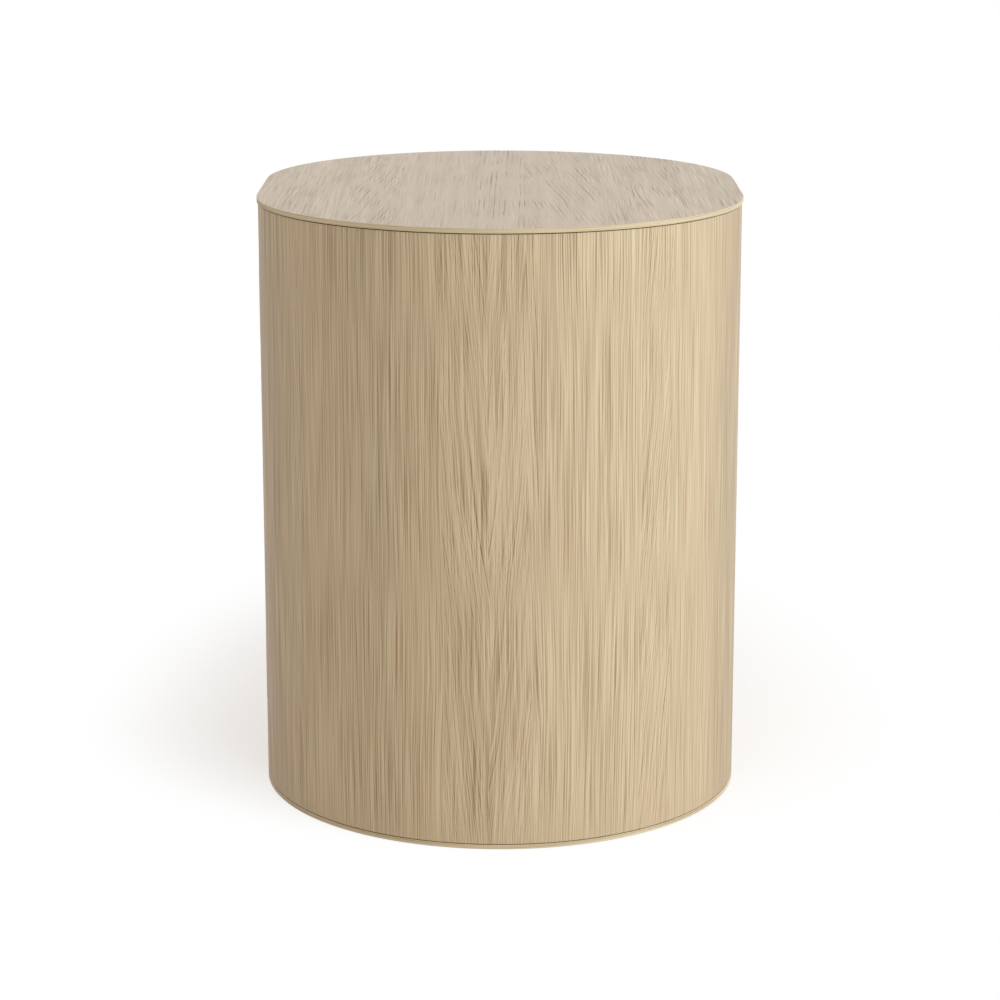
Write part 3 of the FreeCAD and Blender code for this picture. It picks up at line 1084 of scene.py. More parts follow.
    def make(self) -> Material:
        """Makes the material, which reads the piece's grain map.

        Returns:
            The material.
        """
        bench = NodeBench(self.name)
        across, along = bench.grain_map()
        flow, straight, flame = self.flow(bench, across, along)
        calm = self.draw(bench, across, along, self.calms, self.calm_low)
        line, zone = self.year_lines(bench, flow, along)
        line = bench.scaled(bench.scaled(line, calm), bench.scaled(flame, *self.flame_shares))
        fine = self.draw(bench, flow, along, self.fines)
        fine = bench.scaled(bench.scaled(fine, zone), calm)
        dash = self.draw(bench, flow, along, self.dashes)
        dash = bench.scaled(dash, bench.scaled(line, *self.dash_shares))
        thread = self.draw(bench, flow, along, self.threads)
        hair = self.draw(bench, straight, along, self.hairs)
        band = self.draw(bench, across, along, self.bands)
        hair_reach = bench.scaled(bench.scaled(calm, *self.hair_shares), self.hair_depth)
        wave = bench.swung(thread, self.thread_depth, bench.swung(hair, hair_reach))
        wave = bench.swung(band, self.band_depth, wave)
        side = bench.math("ABSOLUTE", across)
        shade = bench.scaled(line, self.line_depth, self.depth)
        # The last pair paints shade: it darkens the veneer towards the flanks and the rear of the
        # round wall.
        for part, strength in (
                (fine, self.fine_depth), (dash, self.pore_depth),
                (wave, bench.steps(side, *self.edge_span, 1.0, self.edge_share)),
                (bench.steps(side, *self.painted_flank_shade_span), self.painted_flank_shade)):
            shade = bench.scaled(part, strength, shade)
        shade = bench.math("ADD", shade, 0.0, clamp=True)
        sunk = bench.scaled(fine, 0.5, bench.scaled(line, 0.5, dash))
        bench.bump(bench.math("SUBTRACT", 1.0, sunk), self.relief, self.pore_reach)
        ground = self.tone(bench, across, along, band)
        return bench.surface(bench.mix(shade, ground, self.dark),
                             bench.scaled(shade, self.shade_roughness, self.roughness),
                             specular_ior_level=self.gloss)


@dataclass(frozen=True)
class PlainWoodFinish:
    """Sanded solid wood without much figure, laid along one axis of the piece."""

    name: str
    light: Colour
    dark: Colour
    axis: int = 2
    wave_fineness: Triple = (0.05, 0.05, 0.004)
    wave_reach: float = 5.0
    rings: tuple[float, float] = (0.22, 0.13)
    ring_curve: Profile = ((0.0, 0.6), (0.1, 1.0), (0.5, 0.2), (0.9, 0.0), (1.0, 0.6))
    hair_fineness: Triple = (1.4, 1.4, 0.02)
    shares: tuple[float, float] = (0.35, 0.7)
    offset: float = -0.2
    relief: tuple[float, float] = (0.1, 0.1 * MM)
    roughness: float = 0.62

    def make(self) -> Material:
        """Makes the material, which reads the place on the piece.

        Returns:
            The material.
        """
        bench = NodeBench(self.name)
        place = bench.place()
        place.append(place.pop(self.axis))
        growth = bench.scaled(bench.noise(place, self.wave_fineness, 1.0), self.wave_reach)
        for part, share in zip(place, self.rings):
            growth = bench.scaled(part, share, growth)
        line = bench.ramp(bench.math("FRACT", growth), self.ring_curve)
        hair = bench.noise(place, self.hair_fineness)
        shade = bench.blended(line, hair, self.shares, self.offset)
        bench.bump(bench.math("SUBTRACT", 1.0, shade), *self.relief)
        return bench.surface(bench.mix(shade, self.light, self.dark), self.roughness)


@dataclass(frozen=True)
class MetalFinish:
    """Brushed or drawn metal with fine scratches and slight tarnish."""

    name: str
    light: Colour
    dark: Colour
    roughness: float = 0.2
    scratches: Triple = (5.0, 5.0, 1 / 3)
    patches: Triple = (0.12, 0.12, 0.12)
    shares: tuple[float, float] = (0.4, 0.7)
    offset: float = -0.15
    relief: tuple[float, float] = (0.08, 0.05 * MM)
    tarnish: float = 0.25

    def make(self) -> Material:
        """Makes the material, which reads the place on the piece.

        Returns:
            The material.
        """
        bench = NodeBench(self.name)
        fine = bench.noise(bench.place(), self.scratches, 3.0)
        patch = bench.noise(bench.place(), self.patches, 3.0)
        shade = bench.blended(fine, patch, self.shares, self.offset)
        bench.bump(fine, *self.relief)
        rough = bench.scaled(patch, self.tarnish, self.roughness)
        return bench.surface(bench.mix(shade, self.light, self.dark), rough, metallic=1.0)


@dataclass(frozen=True)
class MouldedFinish:
    """Moulded plastic with a fine spark-eroded grain."""

    name: str
    light: Colour
    dark: Colour
    grain: Triple = (4.0, 4.0, 4.0)
    clouds: Triple = (0.1, 0.1, 0.1)
    shares: tuple[float, float] = (0.5, 0.5)
    relief: tuple[float, float] = (0.2, 0.05 * MM)
    roughness: float = 0.5

    def make(self) -> Material:
        """Makes the material, which reads the place on the piece.

        Returns:
            The material.
        """
        bench = NodeBench(self.name)
        fine = bench.noise(bench.place(), self.grain, 3.0, 0.6)
        cloud = bench.noise(bench.place(), self.clouds)
        shade = bench.blended(fine, cloud, self.shares)
        bench.bump(fine, *self.relief)
        return bench.surface(bench.mix(shade, self.light, self.dark), self.roughness)


@dataclass(frozen=True)
class FeltFinish:
    """Pressed felt with matted fibres."""

    name: str
    light: Colour
    dark: Colour
    mats: Triple = (1.6, 1.6, 1.6)
    tufts: Triple = (6.0, 1.2, 6.0)
    shares: tuple[float, float] = (0.6, 0.4)
    span: tuple[float, float] = (0.35, 0.65)
    relief: tuple[float, float] = (0.5, 0.2 * MM)
    sheen: float = 0.4
    roughness: float = 0.95

    def make(self) -> Material:
        """Makes the material, which reads the place on the piece.

        Returns:
            The material.
        """
        bench = NodeBench(self.name)
        mat = bench.noise(bench.place(), self.mats, 5.0, 0.7)
        tuft = bench.noise(bench.place(), self.tufts)
        shade = bench.steps(bench.blended(mat, tuft, self.shares), *self.span)
        bench.bump(shade, *self.relief)
        return bench.surface(bench.mix(shade, self.light, self.dark), self.roughness,
                             sheen_weight=self.sheen)


class Palette:
    """Makes each finish once and hands it out."""

    def __init__(self) -> None:
        """Makes every finish of the table."""
        warm, cool, dark = colour(225, 203, 168), colour(222, 203, 168), colour(136, 101, 68)
        self.wall = OakFinish(
            "oak wall veneer", warm, cool, dark,
            (Lean(-46.0, -9.0, -0.11), Lean(-9.0, 21.0, 0.10), Lean(21.0, 30.0, -0.05),
             Lean(117.0, 149.0, 0.12), Lean(-193.0, -186.0, -0.08), Lean(-186.0, -176.0, 0.07),
             Lean(-420.0, -390.0, -0.15), Lean(-390.0, -345.0, 0.12), Lean(345.0, 380.0, 0.14),
             Lean(570.0, 605.0, -0.15), Lean(605.0, 650.0, 0.14), Lean(-650.0, -610.0, 0.15)),
            # The flank term paints shade on the wall's flanks and rear.
            painted_flank_shade=0.21, edge_share=0.7, gloss=0.22, seed=4.0).make()
        self.top = OakFinish(
            "oak top veneer", colour(219, 199, 171), colour(215, 199, 170), colour(130, 98, 74),
            (Lean(-120.0, -84.0, 0.10), Lean(-22.0, 24.0, 0.015), Lean(24.0, 82.0, -0.09),
             Lean(112.0, 150.0, -0.06)),
            stretch=0.9, ring_width=4.2, line_depth=0.3, fine_depth=0.16, thread_depth=0.25,
            hair_depth=0.8, pore_depth=0.15, band_depth=0.25, calm_low=0.0, wander=0.5, relief=0.6,
            edge_share=2.4, edge_span=(40.0, 120.0), roughness=0.34, gloss=0.5, seed=21.0).make()
        self.rim = OakFinish(
            "oak edge band", colour(236, 216, 181), colour(231, 214, 179),
            colour(132, 106, 70), (), ring_width=3.0, line_depth=0.2, fine_depth=0.2,
            thread_depth=1.0, hair_depth=1.0, pore_depth=0.1, wander=0.5, relief=0.1,
            seed=33.0).make()
        # Painted highlight: a lighter oak for the arris faces of the cap boards, standing in for the
        # light that catches the edge.
        self.painted_arris_highlight = OakFinish(
            "oak arris with painted highlight", colour(240, 223, 192), colour(235, 221, 190),
            colour(150, 124, 88), (), ring_width=3.0, line_depth=0.1, fine_depth=0.1,
            thread_depth=0.6, hair_depth=0.6, pore_depth=0.1, relief=0.1, seed=35.0).make()
        self.inside = OakFinish(
            "oak shelf veneer", warm, cool, dark,
            (Lean(-60.0, -20.0, -0.15), Lean(-20.0, 20.0, 0.14), Lean(70.0, 110.0, 0.12)),
            seed=47.0).make()
        self.post = PlainWoodFinish("sanded post wood", colour(214, 186, 146),
                                    colour(168, 134, 94)).make()
        self.board = PlainWoodFinish("sanded board wood", colour(215, 188, 149),
                                     colour(170, 137, 97), 1).make()
        self.rib = PlainWoodFinish("sanded rib wood", colour(212, 184, 145),
                                   colour(166, 133, 94), 0).make()
        self.brass = MetalFinish("satin brass", colour(212, 176, 108), colour(170, 132, 70)).make()
        self.steel = MetalFinish("zinc-plated steel", colour(205, 206, 208),
                                 colour(150, 152, 156), 0.18).make()
        self.plastic = MouldedFinish("moulded latch plastic", colour(150, 144, 134),
                                     colour(118, 112, 102)).make()
        self.felt = FeltFinish("pressed felt", colour(108, 98, 86), colour(58, 52, 46)).make()


def first_finish(face: Face) -> int:
    """Gives every face the first finish."""
    return 0


def dress(obj: Piece, finishes: Sequence[Material],
          choose: Callable[[Face], int] = first_finish) -> None:
    """Gives each face of a piece one of its finishes.

    Args:
        obj: The piece.
        finishes: The finishes to choose from.
        choose: Says which one a face gets.
    """
    obj.data.materials.clear()
    for material in finishes:
        obj.data.materials.append(material)
    for face in obj.data.polygons:
        face.material_index = choose(face)


@dataclass
class Assembly:
    """A sub-assembly of the table, which takes its finishes from the palette."""

    palette: Palette

    def seat(self, obj: Piece, body: Body, slot: Slot, node: str, *finishes: Material,
             choose: Callable[[Face], int] = first_finish) -> None:
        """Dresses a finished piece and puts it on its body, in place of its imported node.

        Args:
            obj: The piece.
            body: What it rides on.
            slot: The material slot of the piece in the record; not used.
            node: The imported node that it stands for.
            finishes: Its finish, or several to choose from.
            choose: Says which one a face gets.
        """
        dress(obj, finishes, choose)
        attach(obj, body.value)
        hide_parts(node)
        LOG.info("piece %s: %d faces on %s", obj.name, len(obj.data.polygons), body.value)


def rear_peg_seat(side: float, level: float) -> tuple[Triple, Triple]:
    """Finds a peg's seat in the rear curve.

    Args:
        side: Which side it is on, -1 on the left or 1 on the right.
        level: Its height.

    Returns:
        The mouth of its hole and the way into it.
    """
    way = (side * math.cos(PLAN.rear_peg_angle), math.sin(PLAN.rear_peg_angle), 0.0)
    reach = PLAN.wall_inner
    return (way[0] * reach, PLAN.flank_half + way[1] * reach, level), way


def upright_pair(x: float, y: float, level: float, reach: float) -> list[Triple]:
    """Gives the places of two screws, one below and one above a level."""
    return [(x, y, level + end * reach) for end in SIDES]


def screw_holes(places: Sequence[Triple], way: Triple) -> list[Piece]:
    """Makes the cutters of countersunk screw holes at some places, all sunk in one way."""
    return spread(turned("hole", PLAN.countersink, HOLE_STEPS), [(place, way) for place in places])


def strike_block(name: str, face_y: float, ease: float = 0.0) -> Piece:
    """Makes a block in the outline of the strike plate.

    Args:
        name: The piece's name.
        face_y: Where its face towards the latch stands.
        ease: The width of its edges' rounding.

    Returns:
        The block.
    """
    half_x, half_z = PLAN.strike_half
    return block(name, (PLAN.post_middle_x - half_x, PLAN.door_end_y - PLAN.sheet_thickness,
                        PLAN.latch_level - half_z),
                 (PLAN.post_middle_x + half_x, face_y, PLAN.latch_level + half_z), ease)


@dataclass
class TopAndBase(Assembly):
    """The thin veneered boards above and below the walls."""

    arris: float = 0.00035
    groove_drop: float = 0.0010
    groove_depth: float = 0.00022
    groove_half: float = 0.00022

    def board(self, name: str, radius: float, low: float, high: float) -> Piece:
        """Makes a cap board with softened edges and a fine line between veneer and edging.

        Args:
            name: The piece's name.
            radius: The radius of its round ends.
            low: The height of its lower face.
            high: The height of its upper face.

        Returns:
            The board.
        """
        groove_z = high - self.groove_drop
        obj = obround_board(name, radius, low, high)
        with editing(obj):
            score("Z", groove_z - self.groove_half, groove_z, groove_z + self.groove_half)
            pick(obj, Element.POINTS, lambda point: abs(point.z - groove_z) < NEAR)
            bpy.ops.transform.shrink_fatten(value=-self.groove_depth)
            ease_edges(obj, self.arris, 3,
                       lambda a, b: is_level(a, b) and touches(a.z, low, high))
            pick(obj, Element.FACES, lambda middle: touches(middle.z, low, high))
            bpy.ops.mesh.inset(thickness=MM, depth=0.0)
        smooth(obj)
        lay_grain(obj, lambda face, point: on_board(face, point, radius))
        return obj

    def finish_index(self, face: Face, low: float, high: float) -> int:
        """Says which finish a face of a board gets.

        Args:
            face: The face.
            low: The height of the board's lower face.
            high: The height of its upper face.

        Returns:
            0 for veneer, 1 for edging or 2 for the arris of the edging, which gets a lighter oak as
            a painted highlight.
        """
        if abs(face.normal.z) > FLAT_SHARE:
            return 0
        return 2 if min(face.center.z - low, high - face.center.z) < self.arris else 1

    def build(self) -> None:
        """Makes both boards and seats them."""
        for name, radius, low, high, node in (
                ("top_board", PLAN.cap_radius, PLAN.top_cap_low, PLAN.height, "top_cap_board"),
                ("base_board", PLAN.wall_radius, PLAN.floor_clearance, PLAN.base_cap_high,
                 "base_cap_board")):
            finishes = (self.palette.top, self.palette.rim, self.palette.painted_arris_highlight)
            self.seat(self.board(name, radius, low, high), Body.CARCASS, Slot.OAK, node, *finishes,
                      choose=lambda face: self.finish_index(face, low, high))


@dataclass
class BentWalls(Assembly):
    """The door's half-round skin and the U-shaped rear wall."""

    seam_ease: float = 0.002
    edge_ease: float = 0.0004
    relief_radius: float = 0.0027
    relief_half: float = 0.0303

    def skin(self, name: str, end_y: float) -> Piece:
        """Makes one bent wall with its seam corners and edges eased.

        Args:
            name: The piece's name.
            end_y: Where the wall ends at the seams.

        Returns:
            The wall.
        """
        obj = bent_strip(name, PLAN.wall_radius, PLAN.wall_thickness,
                         (PLAN.wall_low, PLAN.wall_high), end_y)
        with editing(obj):
            ease_edges(obj, self.seam_ease, 4, lambda a, b: self.is_seam_corner(a, b, end_y))
            ease_edges(obj, self.edge_ease, 2, lambda a, b: is_level(a, b)
                       and touches(a.z, PLAN.wall_low, PLAN.wall_high)
                       and self.on_outline(a, end_y) and self.on_outline(b, end_y), clamp=True)
        return obj

    def is_seam_corner(self, a: Vector, b: Vector, end_y: float) -> bool:
        """Whether an edge is an outer upright corner at a seam."""
        standing = abs(a.x - b.x) < NEAR and abs(a.y - b.y) < NEAR
        return standing and abs(a.x) > PLAN.wall_radius - MM and abs(a.y - end_y) < NEAR

    def on_outline(self, point: Vector, end_y: float) -> bool:
        """Tells whether a point lies on the outline of a wall's upper or lower edge.

        Args:
            point: The point.
            end_y: Where the wall ends at the seams.

        Returns:
            Whether it is on the outer or inner face or near a seam face.
        """
        depth = wall_depth(point, PLAN.wall_radius)
        on_face = min(abs(depth), abs(depth - PLAN.wall_thickness)) < 3 * NEAR
        return on_face or abs(point.y - end_y) < self.seam_ease + NEAR

    def cut_reliefs(self, obj: Piece) -> None:
        """Cuts the coves for the hinges' knuckles."""
        carve(obj, [rod(self.relief_radius, (PLAN.hinge_x, PLAN.seam_y, level - self.relief_half),
                        "Z", 2 * self.relief_half) for level in PLAN.hinge_levels])

    def cut_peg_holes(self, obj: Piece) -> None:
        """Cuts the two rows of peg holes in the rear curve.

        Args:
            obj: The rear wall.
        """
        profile = tuple((PLAN.peg_hole_radius, end * PLAN.peg_hole_depth) for end in SIDES)
        seats = [rear_peg_seat(side, level) for side in SIDES for level in PLAN.peg_levels]
        carve(obj, spread(turned("hole", profile, HOLE_STEPS), seats))

    def build(self) -> None:
        """Makes both walls and seats them."""
        for name, end_y, body, node in (
                ("door_skin", PLAN.door_end_y, Body.DOOR, "door_shell"),
                ("rear_skin", PLAN.rear_end_y, Body.CARCASS, "rear_wall")):
            obj = self.skin(name, end_y)
            self.cut_reliefs(obj)
            if body is Body.CARCASS:
                self.cut_peg_holes(obj)
            smooth(obj)
            lay_grain(obj, on_wall)
            self.seat(obj, body, Slot.OAK, node, self.palette.wall)


@dataclass
class CoreBoards(Assembly):
    """The thick boards behind the caps, cut back in front where the door passes."""

    rear_radius: float = PLAN.core_radius
    front_radius: float = 0.185
    edge_ease: float = 0.0006
    bore_radius: float = 0.0021
    head_radius: float = 0.0042
    head_depth: float = 0.0025

    def board(self, name: str, low: float, high: float, cap_level: float) -> Piece:
        """Makes one core board.

        Args:
            name: The piece's name.
            low: The height of its lower face.
            high: The height of its upper face.
            cap_level: The height of the face that its screws enter.

        Returns:
            The board.
        """
        obj = obround_board(name, self.rear_radius, low, high)
        with editing(obj):
            neck(obj, PLAN.rear_end_y, self.front_radius / self.rear_radius)
            ease_round_end(obj, self.edge_ease, -1.0)
        inward = 1.0 if cap_level == low else -1.0
        for radius, depth in ((self.bore_radius, high - low + MM),
                              (self.head_radius, self.head_depth)):
            carve(obj, [rod(radius, (side * PLAN.post_middle_x, PLAN.post_middle_y,
                                     cap_level - inward * MM), "Z", inward * (depth + MM))
                        for side in SIDES])
        smooth(obj)
        return obj

    def build(self) -> None:
        """Makes both core boards and seats them."""
        for name, low, high, cap_level, node in (
                ("ceiling_board", PLAN.ceiling_level, PLAN.top_cap_low, PLAN.top_cap_low,
                 "top_core_board"),
                ("floor_board", PLAN.base_cap_high, PLAN.floor_level, PLAN.base_cap_high,
                 "base_core_board")):
            obj = self.board(name, low, high, cap_level)
            self.seat(obj, Body.CARCASS, Slot.CORE, node, self.palette.board)


@dataclass
class Posts(Assembly):
    """The two uprights behind the seams, with their peg holes."""

    chamfer: float = 0.0015
    latch_bore: float = 0.005
    latch_depth: float = 0.036

    def post(self, name: str, side: float) -> Piece:
        """Makes one post with its inner corners eased and its holes.

        Args:
            name: The piece's name.
            side: Which side it stands on, -1 for the hinges' or 1 for the latch's.

        Returns:
            The post.
        """
        obj = upright(name, side, (PLAN.rear_end_y, PLAN.post_back_y),
                      (PLAN.floor_level, PLAN.ceiling_level))
        ease_inner_corners(obj, side, self.chamfer)
        start_x = side * (PLAN.post_inner_x - PLAN.peg_hole_depth)
        carve(obj, [rod(PLAN.peg_hole_radius, (start_x, PLAN.post_middle_y, level), "X",
                        side * 2 * PLAN.peg_hole_depth, HOLE_STEPS) for level in PLAN.peg_levels])
        if side > 0:
            mouth = (PLAN.post_middle_x, PLAN.rear_end_y - MM, PLAN.latch_level)
            carve(obj, [rod(self.latch_bore, mouth, "Y", self.latch_depth + MM)])
        smooth(obj)
        return obj

    def build(self) -> None:
        """Makes both posts and seats them."""
        for name, side, node in (("hinge_post", -1.0, "left_post"),
                                 ("latch_post", 1.0, "right_post")):
            self.seat(self.post(name, side), Body.CARCASS, Slot.CORE, node, self.palette.post)


@dataclass
class DoorFrame(Assembly):
    """The stiles and the bent ribs behind the door's skin."""

    low: float = 0.0256
    high: float = 0.4738
    rib_width: float = 0.024
    rib_height: float = 0.016
    ease: float = 0.0008

    def stile(self, name: str, side: float) -> Piece:
        """Makes one stile, shaped to the inside of the skin.

        Args:
            name: The piece's name.
            side: Which side it stands on, -1 for the hinges' or 1 for the latch's.

        Returns:
            The stile.
        """
        obj = upright(name, side, (PLAN.stile_back_y, PLAN.door_end_y), (self.low, self.high))
        plan = obround_board("plan", PLAN.core_radius, self.low - MM, self.high + MM)
        carve(obj, [plan], "INTERSECT")
        ease_inner_corners(obj, side, self.ease)
        if side > 0:
            carve(obj, [strike_block("strike_seat", PLAN.door_end_y + MM)])
        smooth(obj)
        return obj

    def rib(self, name: str, low: float) -> Piece:
        """Makes one bent rib with its inner edges eased.

        Args:
            name: The piece's name.
            low: The height of its lower face.

        Returns:
            The rib.
        """
        obj = bent_strip(name, PLAN.core_radius, self.rib_width, (low, low + self.rib_height),
                         PLAN.door_end_y)
        keep_side(obj, PLAN.stile_back_y, True)
        inner = PLAN.core_radius - self.rib_width
        with editing(obj):
            ease_edges(obj, self.ease, 3, lambda a, b: is_level(a, b)
                       and abs(wall_depth(a, inner)) + abs(wall_depth(b, inner)) < 0.1 * MM)
        smooth(obj)
        return obj

    def build(self) -> None:
        """Makes the frame and seats it on the door."""
        for name, side, node in (("hinge_stile", -1.0, "door_left_stile"),
                                 ("latch_stile", 1.0, "door_right_stile")):
            self.seat(self.stile(name, side), Body.DOOR, Slot.CORE, node, self.palette.post)
        for name, low, node in (("upper_rib", self.high - self.rib_height, "door_top_rib"),
                                ("lower_rib", self.low, "door_bottom_rib")):
            self.seat(self.rib(name, low), Body.DOOR, Slot.CORE, node, self.palette.rib)


@dataclass
class ShelfAndPegs(Assembly):
    """The loose shelf and the four pegs that it lies on."""

    shelf_low: float = 0.2521
    shelf_high: float = 0.2681
    rear_radius: float = 0.185
    neck_radius: float = 0.157
    shoulder_y: float = -0.002
    edge_ease: float = 0.0006
    peg_radius: float = 0.0024
    peg_proud: float = 0.008
    peg_in: float = 0.0089
    peg_ease: float = 0.0006
    collar: tuple[float, float] = (0.0009, 0.0021)

    def shelf(self) -> Piece:
        """Makes the shelf, necked in front so that it passes between the posts.

        Returns:
            The shelf.
        """
        obj = obround_board("shelf_board", self.rear_radius, self.shelf_low, self.shelf_high)
        with editing(obj):
            neck(obj, self.shoulder_y, self.neck_radius / self.rear_radius)
            for side in SIDES:
                ease_round_end(obj, self.edge_ease, side)
        smooth(obj)
        lay_grain(obj, lambda face, point: on_board(face, point, self.rear_radius))
        return obj

    def peg(self) -> Piece:
        """Turns one peg with eased ends and a fine collar line, its mouth at the origin.

        Returns:
            The peg.
        """
        radius, ease = self.peg_radius, self.peg_ease
        neck_level, line = self.collar
        profile = ((radius - ease, -self.peg_proud), (radius - ease / 3, -self.peg_proud + ease / 4),
                   (radius, -self.peg_proud + ease), (radius, -neck_level),
                   (line, -neck_level + ease / 4), (line, -neck_level + ease),
                   (radius, -neck_level + 1.25 * ease), (radius, self.peg_in - ease),
                   (radius - ease, self.peg_in))
        return turned("peg", profile, HOLE_STEPS)

    def build(self) -> None:
        """Makes the shelf and the pegs and seats them."""
        finishes = (self.palette.inside, self.palette.rim)
        self.seat(self.shelf(), Body.CARCASS, Slot.OAK, "shelf", *finishes,
                  choose=lambda face: 0 if abs(face.normal.z) > FLAT_SHARE else 1)
        seats = {}
        for side, word in zip(SIDES, ("left", "right")):
            mouth = (side * PLAN.post_inner_x, PLAN.post_middle_y, PLAN.middle_level)
            seats["front_" + word] = (mouth, (side, 0.0, 0.0))
            seats["rear_" + word] = rear_peg_seat(side, PLAN.middle_level)
        for place, peg in zip(seats, spread(self.peg(), seats.values())):
            rename(peg, "peg_" + place)
            self.seat(peg, Body.CARCASS, Slot.STEEL, "shelf_peg_" + place, self.palette.steel)


@dataclass(frozen=True)
class ScrewKind:
    """The sizes of one kind of countersunk wood screw."""

    head_radius: float
    head_height: float
    radius: float
    length: float
    pitch: float
    recess: float
    core_share: float = 0.72
    shank_share: float = 0.35
    thread_shares: tuple[float, float] = (0.3, 0.65)
    tip_share: float = 0.1
    slot_shares: tuple[float, float] = (0.56, 0.11)

    def profile(self) -> list[tuple[float, float]]:
        """Gives the outline from the head's face to the point, with the thread as ridges.

        Returns:
            The radius and depth of each ring.
        """
        core = self.core_share * self.radius
        level = self.shank_share * self.length
        rise, fall = self.thread_shares
        rings = [(self.head_radius - 0.05 * MM, 0.0), (self.head_radius, 0.06 * MM),
                 (self.radius, self.head_height), (self.radius, level)]
        while level + 2 * self.pitch < self.length - self.radius:
            rings += [(core, level + rise * self.pitch), (core, level + fall * self.pitch),
                      (self.radius, level + self.pitch)]
            level += self.pitch
        return rings + [(core, self.length - self.radius),
                        (self.tip_share * self.radius, self.length)]

    def screw(self) -> Piece:
        """Makes one screw with a cross recess, its head's face at the origin.

        Returns:
            The screw.
        """
        obj = turned("screw", self.profile(), SCREW_STEPS)
        half, wide = (share * self.head_radius for share in self.slot_shares)
        for across, along in ((half, wide), (wide, half)):
            carve(obj, [block("recess", (-across, -along, -MM), (across, along, self.recess))])
        smooth(obj)
        return obj


@dataclass
class Fasteners(Assembly):
    """Every screw of the table, each set made from one screw."""

    post_kind: ScrewKind = ScrewKind(0.004, 0.0024, 0.002, 0.045, 0.0022, 0.0012)
    hinge_kind: ScrewKind = ScrewKind(0.0028, 0.0008, 0.0015, 0.016, 0.0013, 0.0006)
    strike_kind: ScrewKind = ScrewKind(0.0028, 0.0008, 0.0015, 0.012, 0.0013, 0.0006)

    def post_places(self, level: float) -> list[Triple]:
        """Gives the places of the screws that enter both posts at a height."""
        return [(side * PLAN.post_middle_x, PLAN.post_middle_y, level) for side in SIDES]

    def leaf_places(self, y: float) -> list[Triple]:
        """Gives the places of the screws of both hinges' leaves whose faces stand at y."""
        return [place for level in PLAN.hinge_levels
                for place in upright_pair(PLAN.hinge_screw_x, y, level, PLAN.hinge_screw_reach)]

    def sets(self) -> tuple[tuple[str, ScrewKind, list[Triple], Triple, Body, str], ...]:
        """Lists every set of screws.

        Returns:
            The name, kind, places, way in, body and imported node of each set.
        """
        return (
            ("top_screws", self.post_kind, self.post_places(PLAN.top_cap_low), DOWN,
             Body.CARCASS, "post_screws_top"),
            ("base_screws", self.post_kind, self.post_places(PLAN.base_cap_high), UP,
             Body.CARCASS, "post_screws_base"),
            ("fixed_leaf_screws", self.hinge_kind,
             self.leaf_places(PLAN.rear_end_y - PLAN.sheet_thickness), BACK,
             Body.CARCASS, "hinge_screws_carcass"),
            ("door_leaf_screws", self.hinge_kind,
             self.leaf_places(PLAN.door_end_y + PLAN.sheet_thickness), FRONT,
             Body.DOOR, "hinge_screws_door"),
            ("strike_plate_screws", self.strike_kind,
             upright_pair(PLAN.post_middle_x, PLAN.door_end_y, PLAN.latch_level,
                          PLAN.strike_screw_reach), FRONT, Body.DOOR, "strike_screws"),
        )

    def build(self) -> None:
        """Makes every set and seats it."""
        for name, kind, places, way, body, node in self.sets():
            obj = join(spread(kind.screw(), [(place, way) for place in places]), name)
            if kind is self.hinge_kind:
                self.seat(obj, body, Slot.BRASS, node, self.palette.brass)
            else:
                self.seat(obj, body, Slot.STEEL, node, self.palette.steel)


